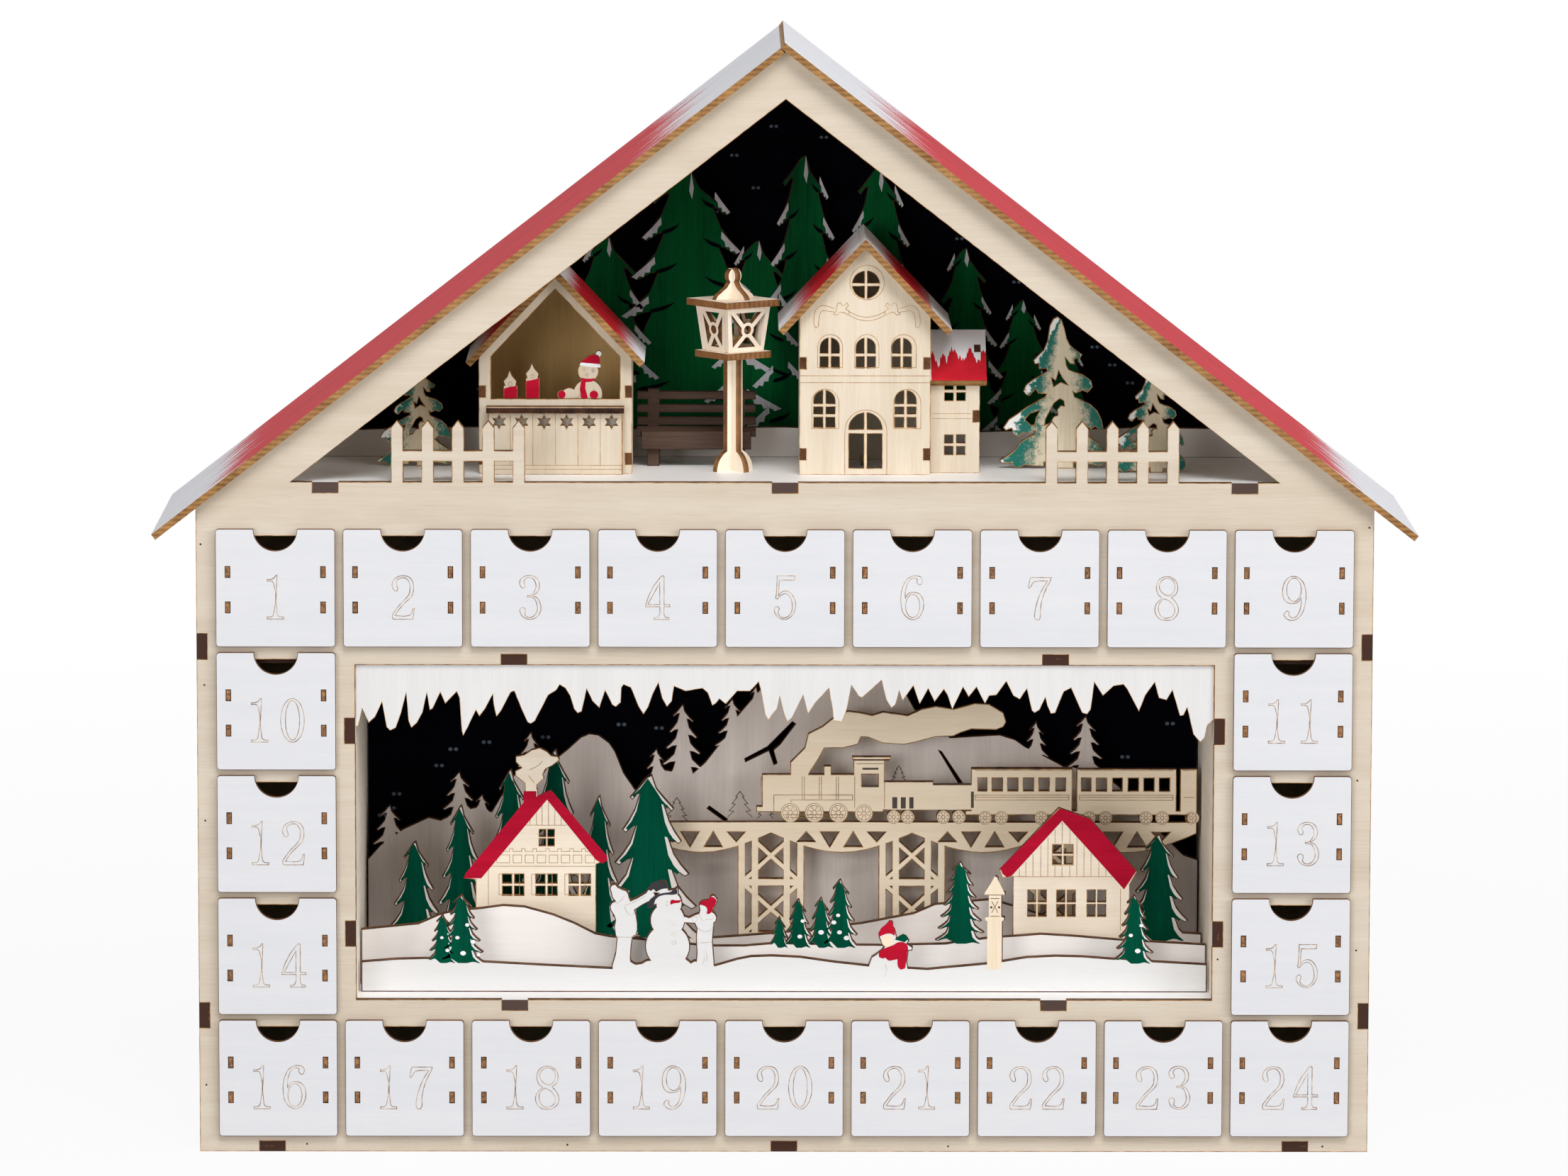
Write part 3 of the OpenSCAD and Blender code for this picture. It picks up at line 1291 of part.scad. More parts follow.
// Battery box: a tray through the back panel with a rim, rails for its lid and a switch slot
module battery_box() {
  back = body_d / 2;
  lip = box_t;
  rail_y = back + box_rim + lid_t + 2 * slide_gap;
  color("Black") difference() {
    union() {
      translate([-cell_w / 2, back - box_d, cell_z]) cube([cell_w, box_d, cell_h]);
      translate([-cell_w / 2 - box_t, back, cell_z - box_t])
        cube([cell_w + 2 * box_t, box_rim, cell_h + 2 * box_t]);
      for (z = [cell_z - box_t, cell_z + cell_h])
        translate([-cell_w / 2, back, z]) cube([lid_w, rail_y + box_rim - back, box_t]);
      for (z = [cell_z - box_t, cell_z + cell_h - lip])
        translate([-cell_w / 2, rail_y, z]) cube([lid_w, box_rim, box_t + lip]);
    }
    translate([-cell_w / 2 + box_t, back - box_d + box_t, cell_z + box_t])
      cube([lid_w - 2 * box_t, box_d + 2 * box_rim, cell_h - 2 * box_t]);
    translate([knob_x, back + box_rim - over / 2, cell_z + cell_h / 2 - box_t])
      cube([switch_slot_w, over, 2 * box_t]);
  }
}

module battery_door() {
  color("Black") translate([-cell_w / 2, body_d / 2 + box_rim + slide_gap, cell_z + slide_gap])
    cube([lid_w, lid_t, cell_h - 2 * slide_gap]);
}

module switch_knob() {
  color("White") translate([knob_x + slide_gap, body_d / 2 + box_rim - box_t,
    cell_z + cell_h / 2 - box_t + slide_gap])
    cube([switch_slot_w / 2 - slide_gap, 2 * box_t, 2 * (box_t - slide_gap)]);
}

front_panel();
back_panel();
mirror([1, 0, 0]) side_wall();  // left_wall
side_wall();  // right_wall
base_board();
attic_floor();
roof_left();
roof_right();
stage_ceiling();
stage_floor();
stage_side_walls();
drawer_shelves();
drawer_dividers();
icicle_valance();
snow_front();
snow_middle();
cottages();
fir_row();
railway();
mountains();
night_skies();
attic_forest();
attic_hill();
bench();
attic_firs();
stall_walls();
stall_counter();
stall_roof();
lantern_post();
lantern_cage();
house_walls();
house_roof();
light_string();
battery_box();
battery_door();
switch_knob();
for (n = [1 : drawer_count])
  drawer(n);
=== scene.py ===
# Dressing of the wooden advent calendar: paint, scorched edges, engraving, camera and light
import math
from functools import partial

import bmesh
import bpy
from mathutils import Matrix, Vector
from mathutils.geometry import tessellate_polygon


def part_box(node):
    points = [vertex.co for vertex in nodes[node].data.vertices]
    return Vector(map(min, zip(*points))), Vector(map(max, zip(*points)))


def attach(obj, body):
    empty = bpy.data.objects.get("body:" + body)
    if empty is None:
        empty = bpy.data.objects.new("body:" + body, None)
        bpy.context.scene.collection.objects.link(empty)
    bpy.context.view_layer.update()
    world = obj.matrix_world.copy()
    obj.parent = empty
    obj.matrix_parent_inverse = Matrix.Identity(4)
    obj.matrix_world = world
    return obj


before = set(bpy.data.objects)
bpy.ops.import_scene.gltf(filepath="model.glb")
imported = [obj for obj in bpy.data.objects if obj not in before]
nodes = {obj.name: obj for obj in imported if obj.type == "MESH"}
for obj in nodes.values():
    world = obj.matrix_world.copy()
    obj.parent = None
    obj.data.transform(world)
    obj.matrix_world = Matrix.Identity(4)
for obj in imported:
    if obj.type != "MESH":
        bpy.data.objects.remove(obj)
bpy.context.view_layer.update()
mm = 0.001
print("frame loaded:", len(nodes), "nodes")


# A colour as it reads on a screen, 0 to 255
def tone(red, green, blue):
    shares = (v / 255 for v in (red, green, blue))
    return tuple(v / 12.92 if v < 0.04045 else ((v + 0.055) / 1.055) ** 2.4
                 for v in shares) + (1.0,)


# Camera, as the photograph was taken: far away, a little above and looking down
view = {"place": (-20.31, -3053.0, 609.21), "down": 7.688, "turn": 0.381, "roll": 0.117,
        "lens": 195.3, "sensor": 36, "reach": 20}


def makeCamera():
    down, turn, roll = (math.radians(view[k]) for k in ("down", "turn", "roll"))
    ahead = Vector((math.sin(turn) * math.cos(down), math.cos(turn) * math.cos(down),
                    -math.sin(down)))
    side = Vector((math.cos(turn), -math.sin(turn), 0))
    up = side.cross(ahead)
    right = math.cos(roll) * side + math.sin(roll) * up
    top = -math.sin(roll) * side + math.cos(roll) * up
    data = bpy.data.cameras.new("camera")
    data.lens = view["lens"]
    data.sensor_width = view["sensor"]
    data.sensor_fit = "HORIZONTAL"
    data.clip_end = view["reach"]
    camera = bpy.data.objects.new("camera", data)
    camera.matrix_world = (Matrix.Translation(Vector(view["place"]) * mm)
                           @ Matrix((right, top, -ahead)).transposed().to_4x4())
    bpy.context.collection.objects.link(camera)
    bpy.context.scene.camera = camera


makeCamera()
print("camera set")


# Node helpers: a number, a colour or another node's socket can go into any input
def plug(socket, value):
    if isinstance(value, bpy.types.NodeSocket):
        socket.id_data.links.new(value, socket)
    else:
        socket.default_value = value


# A node beside the ones that feed it; its inputs go by number or by name
def addNode(kind, inputs, **settings):
    values = inputs if isinstance(inputs, dict) else dict(enumerate(inputs))
    tree = next(v.id_data for v in values.values() if isinstance(v, bpy.types.NodeSocket))
    node = tree.nodes.new(kind)
    for key, value in settings.items():
        setattr(node, key, value)
    for key, value in values.items():
        plug(node.inputs[key], value)
    return node


def sums(operation, *values):
    return addNode("ShaderNodeMath", values, operation=operation).outputs[0]


plus, minus, times, over = (partial(sums, operation) for operation in (
    "ADD", "SUBTRACT", "MULTIPLY", "DIVIDE"))
larger, smaller, above, below = (partial(sums, operation) for operation in (
    "MAXIMUM", "MINIMUM", "GREATER_THAN", "LESS_THAN"))
unsigned, scaleAndAdd = partial(sums, "ABSOLUTE"), partial(sums, "MULTIPLY_ADD")


def vectors(operation, *values):
    return addNode("ShaderNodeVectorMath", values, operation=operation).outputs


def parts(vector):
    return addNode("ShaderNodeSeparateXYZ", (vector,)).outputs


def millimetres(vector):
    return parts(vectors("MULTIPLY", vector, (1 / mm, 1 / mm, 1 / mm))[0])


def blendTones(mask, low, high):
    return addNode("ShaderNodeMix", {0: mask, 6: low, 7: high}, data_type="RGBA").outputs[2]


def ramp(value, fromLow, fromHigh, toLow=0.0, toHigh=1.0):
    return addNode("ShaderNodeMapRange", (value, fromLow, fromHigh, toLow, toHigh)).outputs[0]


def noise(vector, scale, detail=3.0, rough=0.55):
    return addNode("ShaderNodeTexNoise", {"Vector": vector, "Scale": scale, "Detail": detail,
                                          "Roughness": rough}).outputs["Fac"]


def makeGroup(name, inputs, outputs):
    tree = bpy.data.node_groups.new(name, "ShaderNodeTree")
    for label, kind, value in inputs:
        socket = tree.interface.new_socket(name=label, in_out="INPUT",
                                           socket_type="NodeSocket" + kind)
        if value is not None:
            socket.default_value = value
    for label, kind in outputs:
        tree.interface.new_socket(name=label, in_out="OUTPUT", socket_type="NodeSocket" + kind)
    return tree, tree.nodes.new("NodeGroupInput").outputs, tree.nodes.new("NodeGroupOutput").inputs


def useGroup(group, **values):
    named = {label[0].upper() + label[1:]: value for label, value in values.items()}
    return addNode("ShaderNodeGroup", named, node_tree=group).outputs


# Ways of a board: the grain runs along the axis that is stretched least, the plies lie across
alongX, alongY, alongZ = (9, 180, 180), (180, 9, 180), (180, 180, 9)
acrossX, acrossY, acrossZ = (1, 0, 0), (0, 1, 0), (0, 0, 1)
acrossSides = (1, 1, 0)
middling = (0.3, 0.7)       # where most of a noise lies
heights = (0.2, 0.9)        # and most of the veneer's height
faceLimit = 0.9             # how squarely a face looks along an axis

# A noise is given by its scale, detail and roughness
veneerLook = {"bands": (0.7, 2.0), "fibres": (7.0, 4.0, 0.65), "pores": (16.0, 1.0),
              "mottle": (45.0, 2.0), "bandShare": 0.55, "fibreShare": 0.45, "mottleShare": 0.18,
              "poreShare": 0.45, "poreDepth": 0.6, "poresFrom": (0.66, 0.8),
              "darkFrom": (0.42, 0.76)}


# Veneer: long fibres, broad bands and a few short pores
def makeVeneer():
    look = veneerLook
    group, source, sink = makeGroup(
        "veneer", [("Vector", "Vector", None), ("Stretch", "Vector", alongX),
                   ("Light", "Color", None), ("Dark", "Color", None), ("Contrast", "Float", 1.0)],
        [("Color", "Color"), ("Height", "Float")])
    place = vectors("MULTIPLY", source["Vector"], source["Stretch"])[0]
    bands = noise(place, *look["bands"])
    fibres = noise(place, *look["fibres"])
    pores = ramp(noise(place, *look["pores"]), *look["poresFrom"])
    mottle = noise(source["Vector"], *look["mottle"])
    mask = plus(times(bands, look["bandShare"]), times(fibres, look["fibreShare"]))
    mask = ramp(plus(mask, times(mottle, look["mottleShare"])), *look["darkFrom"])
    mask = times(scaleAndAdd(pores, look["poreShare"], mask), source["Contrast"])
    plug(sink["Color"], blendTones(mask, source["Light"], source["Dark"]))
    plug(sink["Height"], minus(fibres, times(pores, look["poreDepth"])))
    return group


scorchLook = {"blotch": (160.0, 3.0), "fine": (900.0, 2.0), "stripeShare": 0.3,
              "blotchShare": 0.9, "fineShare": 0.4, "burntFrom": (0.7, 1.6)}


# Laser-cut edge: plies in stripes through the board's thickness, scorched in uneven patches
def makeScorch():
    look = scorchLook
    group, source, sink = makeGroup(
        "scorchedEdge", [("Vector", "Vector", None), ("Across", "Vector", acrossY),
                         ("Ply", "Float", 1.3), ("Pale", "Color", None),
                         ("Burnt", "Color", None), ("Charred", "Float", 0.6)],
        [("Color", "Color")])
    depth = vectors("DOT_PRODUCT", source["Vector"], source["Across"])["Value"]
    turns = over(times(depth, math.pi / mm), source["Ply"])
    stripe = scaleAndAdd(sums("SINE", turns), 0.5, 0.5)
    blotch = noise(source["Vector"], *look["blotch"])
    fine = noise(source["Vector"], *look["fine"])
    mask = plus(times(stripe, look["stripeShare"]), times(blotch, look["blotchShare"]))
    mask = plus(scaleAndAdd(fine, look["fineShare"], mask), source["Charred"])
    plug(sink["Color"], blendTones(ramp(mask, *look["burntFrom"]), source["Pale"],
                                   source["Burnt"]))
    return group


# Face or edge of a board: 1 where the surface looks along the board's own axis
def makeFaceMask():
    group, source, sink = makeGroup(
        "boardFace", [("Normal", "Vector", None), ("Across", "Vector", acrossY)],
        [("Mask", "Float")])
    looks = parts(vectors("MULTIPLY", vectors("ABSOLUTE", source["Normal"])[0],
                          source["Across"])[0])
    plug(sink["Mask"], above(larger(larger(looks[0], looks[1]), looks[2]), faceLimit))
    return group


strokeLook = {"long": 0.02, "big": (0.55, 1.0), "small": (1.6, 2.0, 0.7), "bigShare": 0.5,
              "smallShare": 0.7, "layer": 3.7, "soft": 0.25}


# Paint brushed out along one way: solid up to a border, then in long pointed strokes
def makeStrokes():
    look = strokeLook
    group, source, sink = makeGroup(
        "brushStrokes", [("Along", "Float", 0.0), ("Across", "Float", 0.0),
                         ("Border", "Float", 20.0), ("Reach", "Float", 12.0),
                         ("Width", "Float", 3.0)],
        [("Mask", "Float")])
    place = addNode("ShaderNodeCombineXYZ", (over(source["Across"], source["Width"]),
                                             times(source["Along"], look["long"]),
                                             look["layer"])).outputs[0]
    big, small = (ramp(noise(place, *look[kind]), *middling, -1.0, 1.0)
                  for kind in ("big", "small"))
    wave = plus(times(big, look["bigShare"]), times(small, look["smallShare"]))
    limit = scaleAndAdd(wave, source["Reach"], source["Border"])
    plug(sink["Mask"], ramp(minus(limit, source["Along"]), -look["soft"], look["soft"]))
    return group


# A stretch of one coordinate with soft ends: 1 inside
def makeStretchMask():
    group, source, sink = makeGroup(
        "patch", [("Value", "Float", 0.0), ("Middle", "Float", 0.0), ("Half", "Float", 1.0),
                  ("Soft", "Float", 0.05)],
        [("Mask", "Float")])
    inside = minus(source["Half"], unsigned(minus(source["Value"], source["Middle"])))
    plug(sink["Mask"], addNode("ShaderNodeClamp",
                               (over(inside, source["Soft"]), 0.0, 1.0)).outputs[0])
    return group


veneer = makeVeneer()
scorchedEdge = makeScorch()
boardFace = makeFaceMask()
brushStrokes = makeStrokes()
patch = makeStretchMask()
print("node groups built")

# Light and dark tones of the calendar's woods and paints; the stall's inside tone is painted shade
# and the railway's tone holds painted light
woods = {
    "ply": ((202, 191, 175), (189, 175, 157)),
    "thin": ((240, 228, 210), (228, 212, 191)),
    "market": ((214, 201, 183), (200, 185, 163)),
    "booth": ((205, 193, 175), (192, 176, 154)),
    # painted shade: the stall's inside, darker and warmer as if in shade with warm bounce light
    "boothPaintedShade": ((200, 166, 112), (182, 148, 94)),
    "shade": ((200, 186, 162), (178, 160, 134)),
    "paint": ((207, 207, 210), (198, 199, 203)),
    "roofWhite": ((232, 232, 236), (222, 223, 229)),
    "snow": ((212, 211, 210), (204, 202, 201)),
    "bank": ((229, 223, 219), (221, 214, 209)),
    "floorWhite": ((249, 248, 247), (243, 241, 240)),
    "pale": ((250, 241, 227), (238, 226, 209)),
    # painted light: paler than the cottages' same thin ply, standing in for light under the
    # valance
    "rail": ((251, 236, 212), (240, 221, 193)),
    "grey": ((226, 216, 209), (204, 193, 186)),
    "firBoard": ((222, 210, 186), (196, 180, 150)),
    "forest": ((0, 88, 42), (0, 60, 30)),
    "bench": ((88, 68, 56), (62, 46, 38)),
    "night": ((4, 5, 14), (1, 1, 6)),
    "red": ((204, 34, 48), (174, 22, 38)),
    "tablePaper": ((214, 214, 214), (208, 208, 208)),
}
# Pale and burnt tones of the cut edges
edges = {
    "case": ((176, 138, 92), (54, 30, 18)),
    "thin": ((150, 104, 60), (58, 34, 20)),
    "drawer": ((172, 128, 88), (92, 58, 36)),
    "roof": ((178, 134, 82), (86, 52, 28)),
    "dark": ((92, 58, 36), (34, 20, 14)),
    "tenon": ((168, 118, 70), (58, 34, 22)),
}


# A material starts with the shader and with the place and normal on the piece itself
def startFinish(name, rough=0.6, shine=0.25):
    material = bpy.data.materials.new(name)
    material.use_nodes = True
    tree = material.node_tree
    tree.nodes.clear()
    shader = tree.nodes.new("ShaderNodeBsdfPrincipled")
    shader.inputs["Roughness"].default_value = rough
    shader.inputs["Specular IOR Level"].default_value = shine
    output = tree.nodes.new("ShaderNodeOutputMaterial")
    plug(output.inputs[0], shader.outputs[0])
    where = tree.nodes.new("ShaderNodeTexCoord").outputs
    return material, shader, where["Object"], where["Normal"]


def relief(shader, height, strength, distance=0.0002):
    bump = addNode("ShaderNodeBump", {"Strength": strength, "Distance": distance,
                                      "Height": height})
    plug(shader.inputs["Normal"], bump.outputs[0])


def grainOf(where, tones, grain, contrast=1.0):
    light, dark = (tone(*v) for v in tones)
    return useGroup(veneer, vector=where, stretch=grain, light=light, dark=dark,
                    contrast=contrast)


def cutEdge(where, edge, charred, ply, across=acrossY):
    pale, burnt = (tone(*v) for v in edges[edge])
    return useGroup(scorchedEdge, vector=where, across=across, ply=ply, pale=pale, burnt=burnt,
                    charred=charred)["Color"]


def within(value, middle, half):
    return useGroup(patch, value=value, middle=middle, half=half)["Mask"]


# Any flat board: its face in a wood or a paint, its cut edges scorched
def boardFinish(name, face, edge="case", across=acrossY, grain=alongX, contrast=1.0,
                charred=0.6, ply=1.3, rough=0.6, bump=0.25, shine=0.2, repaint=None):
    material, shader, where, normal = startFinish(name, rough, shine)
    wood = grainOf(where, woods[face], grain, contrast)
    isFace = useGroup(boardFace, normal=normal, across=across)["Mask"]
    look = blendTones(isFace, cutEdge(where, edge, charred, ply, across), wood["Color"])
    if repaint:
        look = repaint(look, where, normal)
    plug(shader.inputs["Base Color"], look)
    plug(shader.inputs["Roughness"], ramp(wood["Height"], *heights, rough, rough + 0.14))
    relief(shader, wood["Height"], bump)
    return material


# Market stall: its inside painted in a warmer, browner ply tone, as painted shade with warm bounce
# light
stallRoom = {"middle": -82.1, "front": -20.0, "wallFrom": 5.0, "backFrom": -0.5}


def stallInside(look, where, normal):
    at, facing = millimetres(where), parts(normal)
    beside = above(times(facing[0], minus(stallRoom["middle"], at[0])), stallRoom["wallFrom"])
    behind = times(below(facing[1], stallRoom["backFrom"]), above(at[1], stallRoom["front"]))
    # painted shade: the inner faces of the stall's walls get the darker, warmer tone
    paintedShade = grainOf(where, woods["boothPaintedShade"], alongZ)
    return blendTones(larger(beside, behind), look, paintedShade["Color"])


tabbed = 1.05               # boards whose tabs show their charred ends in the front panel
gloss = {"charred": tabbed, "rough": 0.36, "shine": 0.5, "bump": 0.1}
finishes = {
    "front_panel": boardFinish("panelPly", "ply"),
    "back_panel": boardFinish("backPly", "ply"),
    "left_wall": boardFinish("wallPly", "ply", across=acrossX, grain=alongZ, charred=tabbed),
    "base_board": boardFinish("basePly", "ply", across=acrossZ, charred=tabbed),
    "attic_floor": boardFinish("floorPaint", "floorWhite", across=acrossZ, **gloss),
    "stage_floor": boardFinish("stagePaint", "floorWhite", across=acrossZ, **gloss),
    "stage_side_walls": boardFinish("stageWallPly", "pale", across=acrossX, grain=alongY,
                                    charred=tabbed),
    "drawer_shelves": boardFinish("shelfPly", "shade", across=acrossZ, charred=0.2),
    "drawer_dividers": boardFinish("dividerPly", "shade", across=acrossX, grain=alongY,
                                   charred=0.2),
    "icicle_valance": boardFinish("iciclePaint", "snow", "thin", grain=alongZ),
    "snow_front": boardFinish("snowPaint", "snow", "thin", contrast=0.6),
    "snow_middle": boardFinish("bankPaint", "bank", "thin", contrast=0.6),
    "cottages": boardFinish("cottagePly", "thin", "thin"),
    # the railway's paler tone is painted light
    "railway": boardFinish("railPaintedLight", "rail", "thin"),
    "fir_row": boardFinish("snowyFirs", "bank", "thin", contrast=1.2),
    "mountains": boardFinish("mountainStain", "grey", "thin", grain=alongZ, contrast=0.8),
    "night_skies": boardFinish("nightStain", "night", "dark", contrast=0.9, rough=0.8, shine=0.04),
    "attic_forest": boardFinish("forestStain", "forest", "dark", grain=alongZ, rough=0.75,
                                shine=0.06),
    "attic_hill": boardFinish("hillStain", "bank", "thin", contrast=0.8),
    "stall_counter": boardFinish("counterPly", "booth", "thin", across=acrossSides, grain=alongZ),
    "house_walls": boardFinish("housePly", "market", "thin", across=acrossSides, grain=alongZ),
    "bench": boardFinish("benchStain", "bench", "dark", across=(1, 1, 1), charred=0.4),
    # the stall's walls carry painted shade on their inner faces
    "stall_walls": boardFinish("stallPly", "booth", "thin", across=acrossSides, grain=alongZ,
                               repaint=stallInside),
}
alike = {"right_wall": "left_wall", "stage_ceiling": "base_board"}


def wear(node, material):
    slots = nodes[node].data.materials
    if not len(slots):
        slots.append(material)
    for k in range(len(slots)):
        slots[k] = material


for name, material in finishes.items():
    wear(name, material)
for name, other in alike.items():
    wear(name, finishes[other])
print("boards finished")

# Drawer: white front with four tenons showing, bare tray behind it
drawer = {"pitchX": 45.3, "pitchZ": 44.3, "low": 6.0, "gap": 1.0, "tenonX": 16.95,
          "tenonTops": (28.8, 16.1), "tenonH": 3.9, "tenonW": 1.7, "back": -53.25,
          "endGrain": 900.0}


def drawerFinish():
    material, shader, where, normal = startFinish("drawerPaint", rough=0.55, shine=0.3)
    at = millimetres(where)
    column = sums("ROUND", over(at[0], drawer["pitchX"]))
    fromMiddle = unsigned(minus(at[0], times(column, drawer["pitchX"])))
    row = sums("FLOOR", over(minus(at[2], drawer["low"] - drawer["gap"]), drawer["pitchZ"]))
    fromFoot = minus(minus(at[2], drawer["low"]), times(row, drawer["pitchZ"]))
    tall = drawer["tenonH"] / 2
    tenon = times(within(fromMiddle, drawer["tenonX"], drawer["tenonW"] / 2),
                  larger(*(within(fromFoot, top - tall, tall) for top in drawer["tenonTops"])))
    paint = grainOf(where, woods["paint"], alongX, contrast=0.7)
    tray = grainOf(where, woods["thin"], alongY)
    isFace = useGroup(boardFace, normal=normal)["Mask"]
    endGrain = blendTones(ramp(noise(where, drawer["endGrain"]), *middling),
                          *(tone(*v) for v in edges["tenon"]))
    front = blendTones(times(tenon, isFace), paint["Color"], endGrain)
    front = blendTones(isFace, cutEdge(where, "drawer", charred=0.55, ply=0.7), front)
    plug(shader.inputs["Base Color"],
         blendTones(below(at[1], drawer["back"]), tray["Color"], front))
    relief(shader, paint["Height"], strength=0.12)
    return material


drawerPaint = drawerFinish()
drawerNames = ["drawer_%02d" % n for n in range(1, 25)]
for name in drawerNames:
    wear(name, drawerPaint)
print("drawers painted")

# Roofs: white at the ridge and the eaves, brushed into the red between them. A brush gives how
# far the white is solid and how far its strokes reach
roof = {"pitch": 37.8, "ridge": 398.7, "ridgeBrush": (52.0, 22.0), "eaveBrush": (36.0, 16.0),
        "stroke": 1.5}
stallRoof = {"pitch": 46.5, "ridge": 316.3, "ridgeBrush": (8.0, 7.0), "eaveBrush": (11.0, 8.0),
             "stroke": 1.0}
houseRoof = {"pitch": 46.6, "ridge": 327.2, "ridgeBrush": (11.0, 9.0), "eaveBrush": (13.0, 9.0),
             "stroke": 1.0, "eave": 293.0}
# Lean-to beside the town house: white running down over the red, and one tenon's end
leanTo = {"side": 52.4, "top": 291.6, "brush": (8.5, 5.0), "stroke": 3.6,
          "tenon": {0: 69.2, 2: 285.7}, "tenonHalf": 1.2, "tenonEnd": (62, 38, 26)}
roofGrain = (40, 160, 40)
strokeShift = 37.0          # so that the strokes of eave and ridge differ
topMargin = 0.08            # how far a normal may lean off the roof's own


def brushed(along, across, brush, stroke):
    return useGroup(brushStrokes, along=along, across=across, border=brush[0], reach=brush[1],
                    width=stroke)["Mask"]


def roofFinish(name, node, values, beside=None):
    material, shader, where, normal = startFinish(name, shine=0.12)
    at, facing = millimetres(where), parts(normal)
    eave = values.get("eave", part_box(node)[0].z / mm)
    slope = math.sin(math.radians(values["pitch"]))
    white = larger(brushed(over(minus(values["ridge"], at[2]), slope), at[1],
                           values["ridgeBrush"], values["stroke"]),
                   brushed(over(minus(at[2], eave), slope), plus(at[1], strokeShift),
                           values["eaveBrush"], values["stroke"]))
    red = grainOf(where, woods["red"], roofGrain)
    snow = grainOf(where, woods["roofWhite"], roofGrain)
    painted = blendTones(white, red["Color"], snow["Color"])
    if beside:
        drips = brushed(minus(beside["top"], at[2]), at[0], beside["brush"], beside["stroke"])
        cover = blendTones(drips, red["Color"], snow["Color"])
        tenon = times(*(within(at[k], middle, beside["tenonHalf"])
                        for k, middle in beside["tenon"].items()))
        cover = blendTones(tenon, cover, tone(*beside["tenonEnd"]))
        painted = blendTones(above(at[0], beside["side"]), painted, cover)
    bare = grainOf(where, woods["thin"], alongY)
    cut = cutEdge(where, "roof", charred=0.35, ply=0.9, across=acrossZ)
    upright = math.cos(math.radians(values["pitch"])) - topMargin
    look = blendTones(above(facing[2], upright), cut, painted)
    look = blendTones(below(facing[2], -upright), look, bare["Color"])
    look = blendTones(above(unsigned(facing[1]), faceLimit), look, cut)
    plug(shader.inputs["Base Color"], look)
    relief(shader, red["Height"], strength=0.2)
    return material


roofPaint = roofFinish("roofPaint", "roof_left", roof)
for name in ("roof_left", "roof_right"):
    wear(name, roofPaint)
wear("stall_roof", roofFinish("stallRoofPaint", "stall_roof", stallRoof))
wear("house_roof", roofFinish("houseRoofPaint", "house_roof", houseRoof, leanTo))
print("roofs painted")

# The lantern is turned on its post; its boards' edges lie away from the axis
lantern = {"axis": (-18.6, -17.0), "turn": -37, "sideFrom": 0.6, "slantFrom": 0.2,
           "halfBoard": 1.7, "corner": 0.8, "gridMiddle": 293.5, "gridHalf": 8.0,
           "platesTop": 304.3}


def lanternFinish(name, caged):
    material, shader, where, normal = startFinish(name)
    axis = (lantern["axis"][0] * mm, lantern["axis"][1] * mm, 0)
    turn = math.radians(lantern["turn"])
    turned = addNode("ShaderNodeVectorRotate", {"Vector": where, "Center": axis, "Angle": turn},
                     rotation_type="Z_AXIS").outputs[0]
    moved = vectors("SUBTRACT", turned, axis)[0]
    place = millimetres(moved)
    looks = [unsigned(v) for v in parts(addNode(
        "ShaderNodeVectorRotate", {"Vector": normal, "Angle": turn},
        rotation_type="Z_AXIS").outputs[0])]
    far = [unsigned(place[k]) for k in (0, 1)]
    sideways = [above(looks[k], lantern["sideFrom"]) for k in (0, 1)]
    edge = larger(*(times(sideways[k], above(far[k], lantern["halfBoard"])) for k in (0, 1)))
    edge = larger(edge, above(looks[2], lantern["slantFrom"]))
    if caged:
        # The panels' lattice shows cut edges, the plates' faces don't
        grid = within(place[2], lantern["gridMiddle"], lantern["gridHalf"])
        panel = larger(*(times(sideways[k], above(far[k], times(far[1 - k], lantern["corner"])))
                         for k in (0, 1)))
        plates = times(above(looks[2], faceLimit), below(place[2], lantern["platesTop"]))
        edge = times(edge, minus(1.0, plates))
        edge = plus(times(grid, minus(1.0, panel)), times(minus(1.0, grid), edge))
    wood = grainOf(where, woods["thin"], alongZ)
    cut = cutEdge(moved, "thin", charred=0.3, ply=1.1, across=acrossX)
    plug(shader.inputs["Base Color"], blendTones(edge, wood["Color"], cut))
    relief(shader, wood["Height"], strength=0.2)
    return material


wear("lantern_post", lanternFinish("lanternPostPly", caged=False))
wear("lantern_cage", lanternFinish("lanternCagePly", caged=True))

# Attic firs: bare boards with the branch ends sprayed green and their tips white. Trees give
# their place as a share of the panel and their size; spray starts and ends at a share of a
# branch's reach
firSpray = {"trees": ((0.239, 1.0), (0.3175, 0.7), (-0.312, 0.71)), "panel": 419.0,
            "foot": 242.0, "height": 55.0, "spread": 0.425, "bulge": 0.85, "tip": 1.03,
            "left": (0.02, 1.1),
            "green": (0.34, 0.62), "white": (0.86, 0.96), "ragged": (420.0, 3.0, 0.7),
            "raggedBy": 0.16, "grit": (2400.0, 2.0, 0.8), "gritBy": 0.14,
            "greenTone": (22, 104, 92), "whiteTone": (234, 235, 232)}


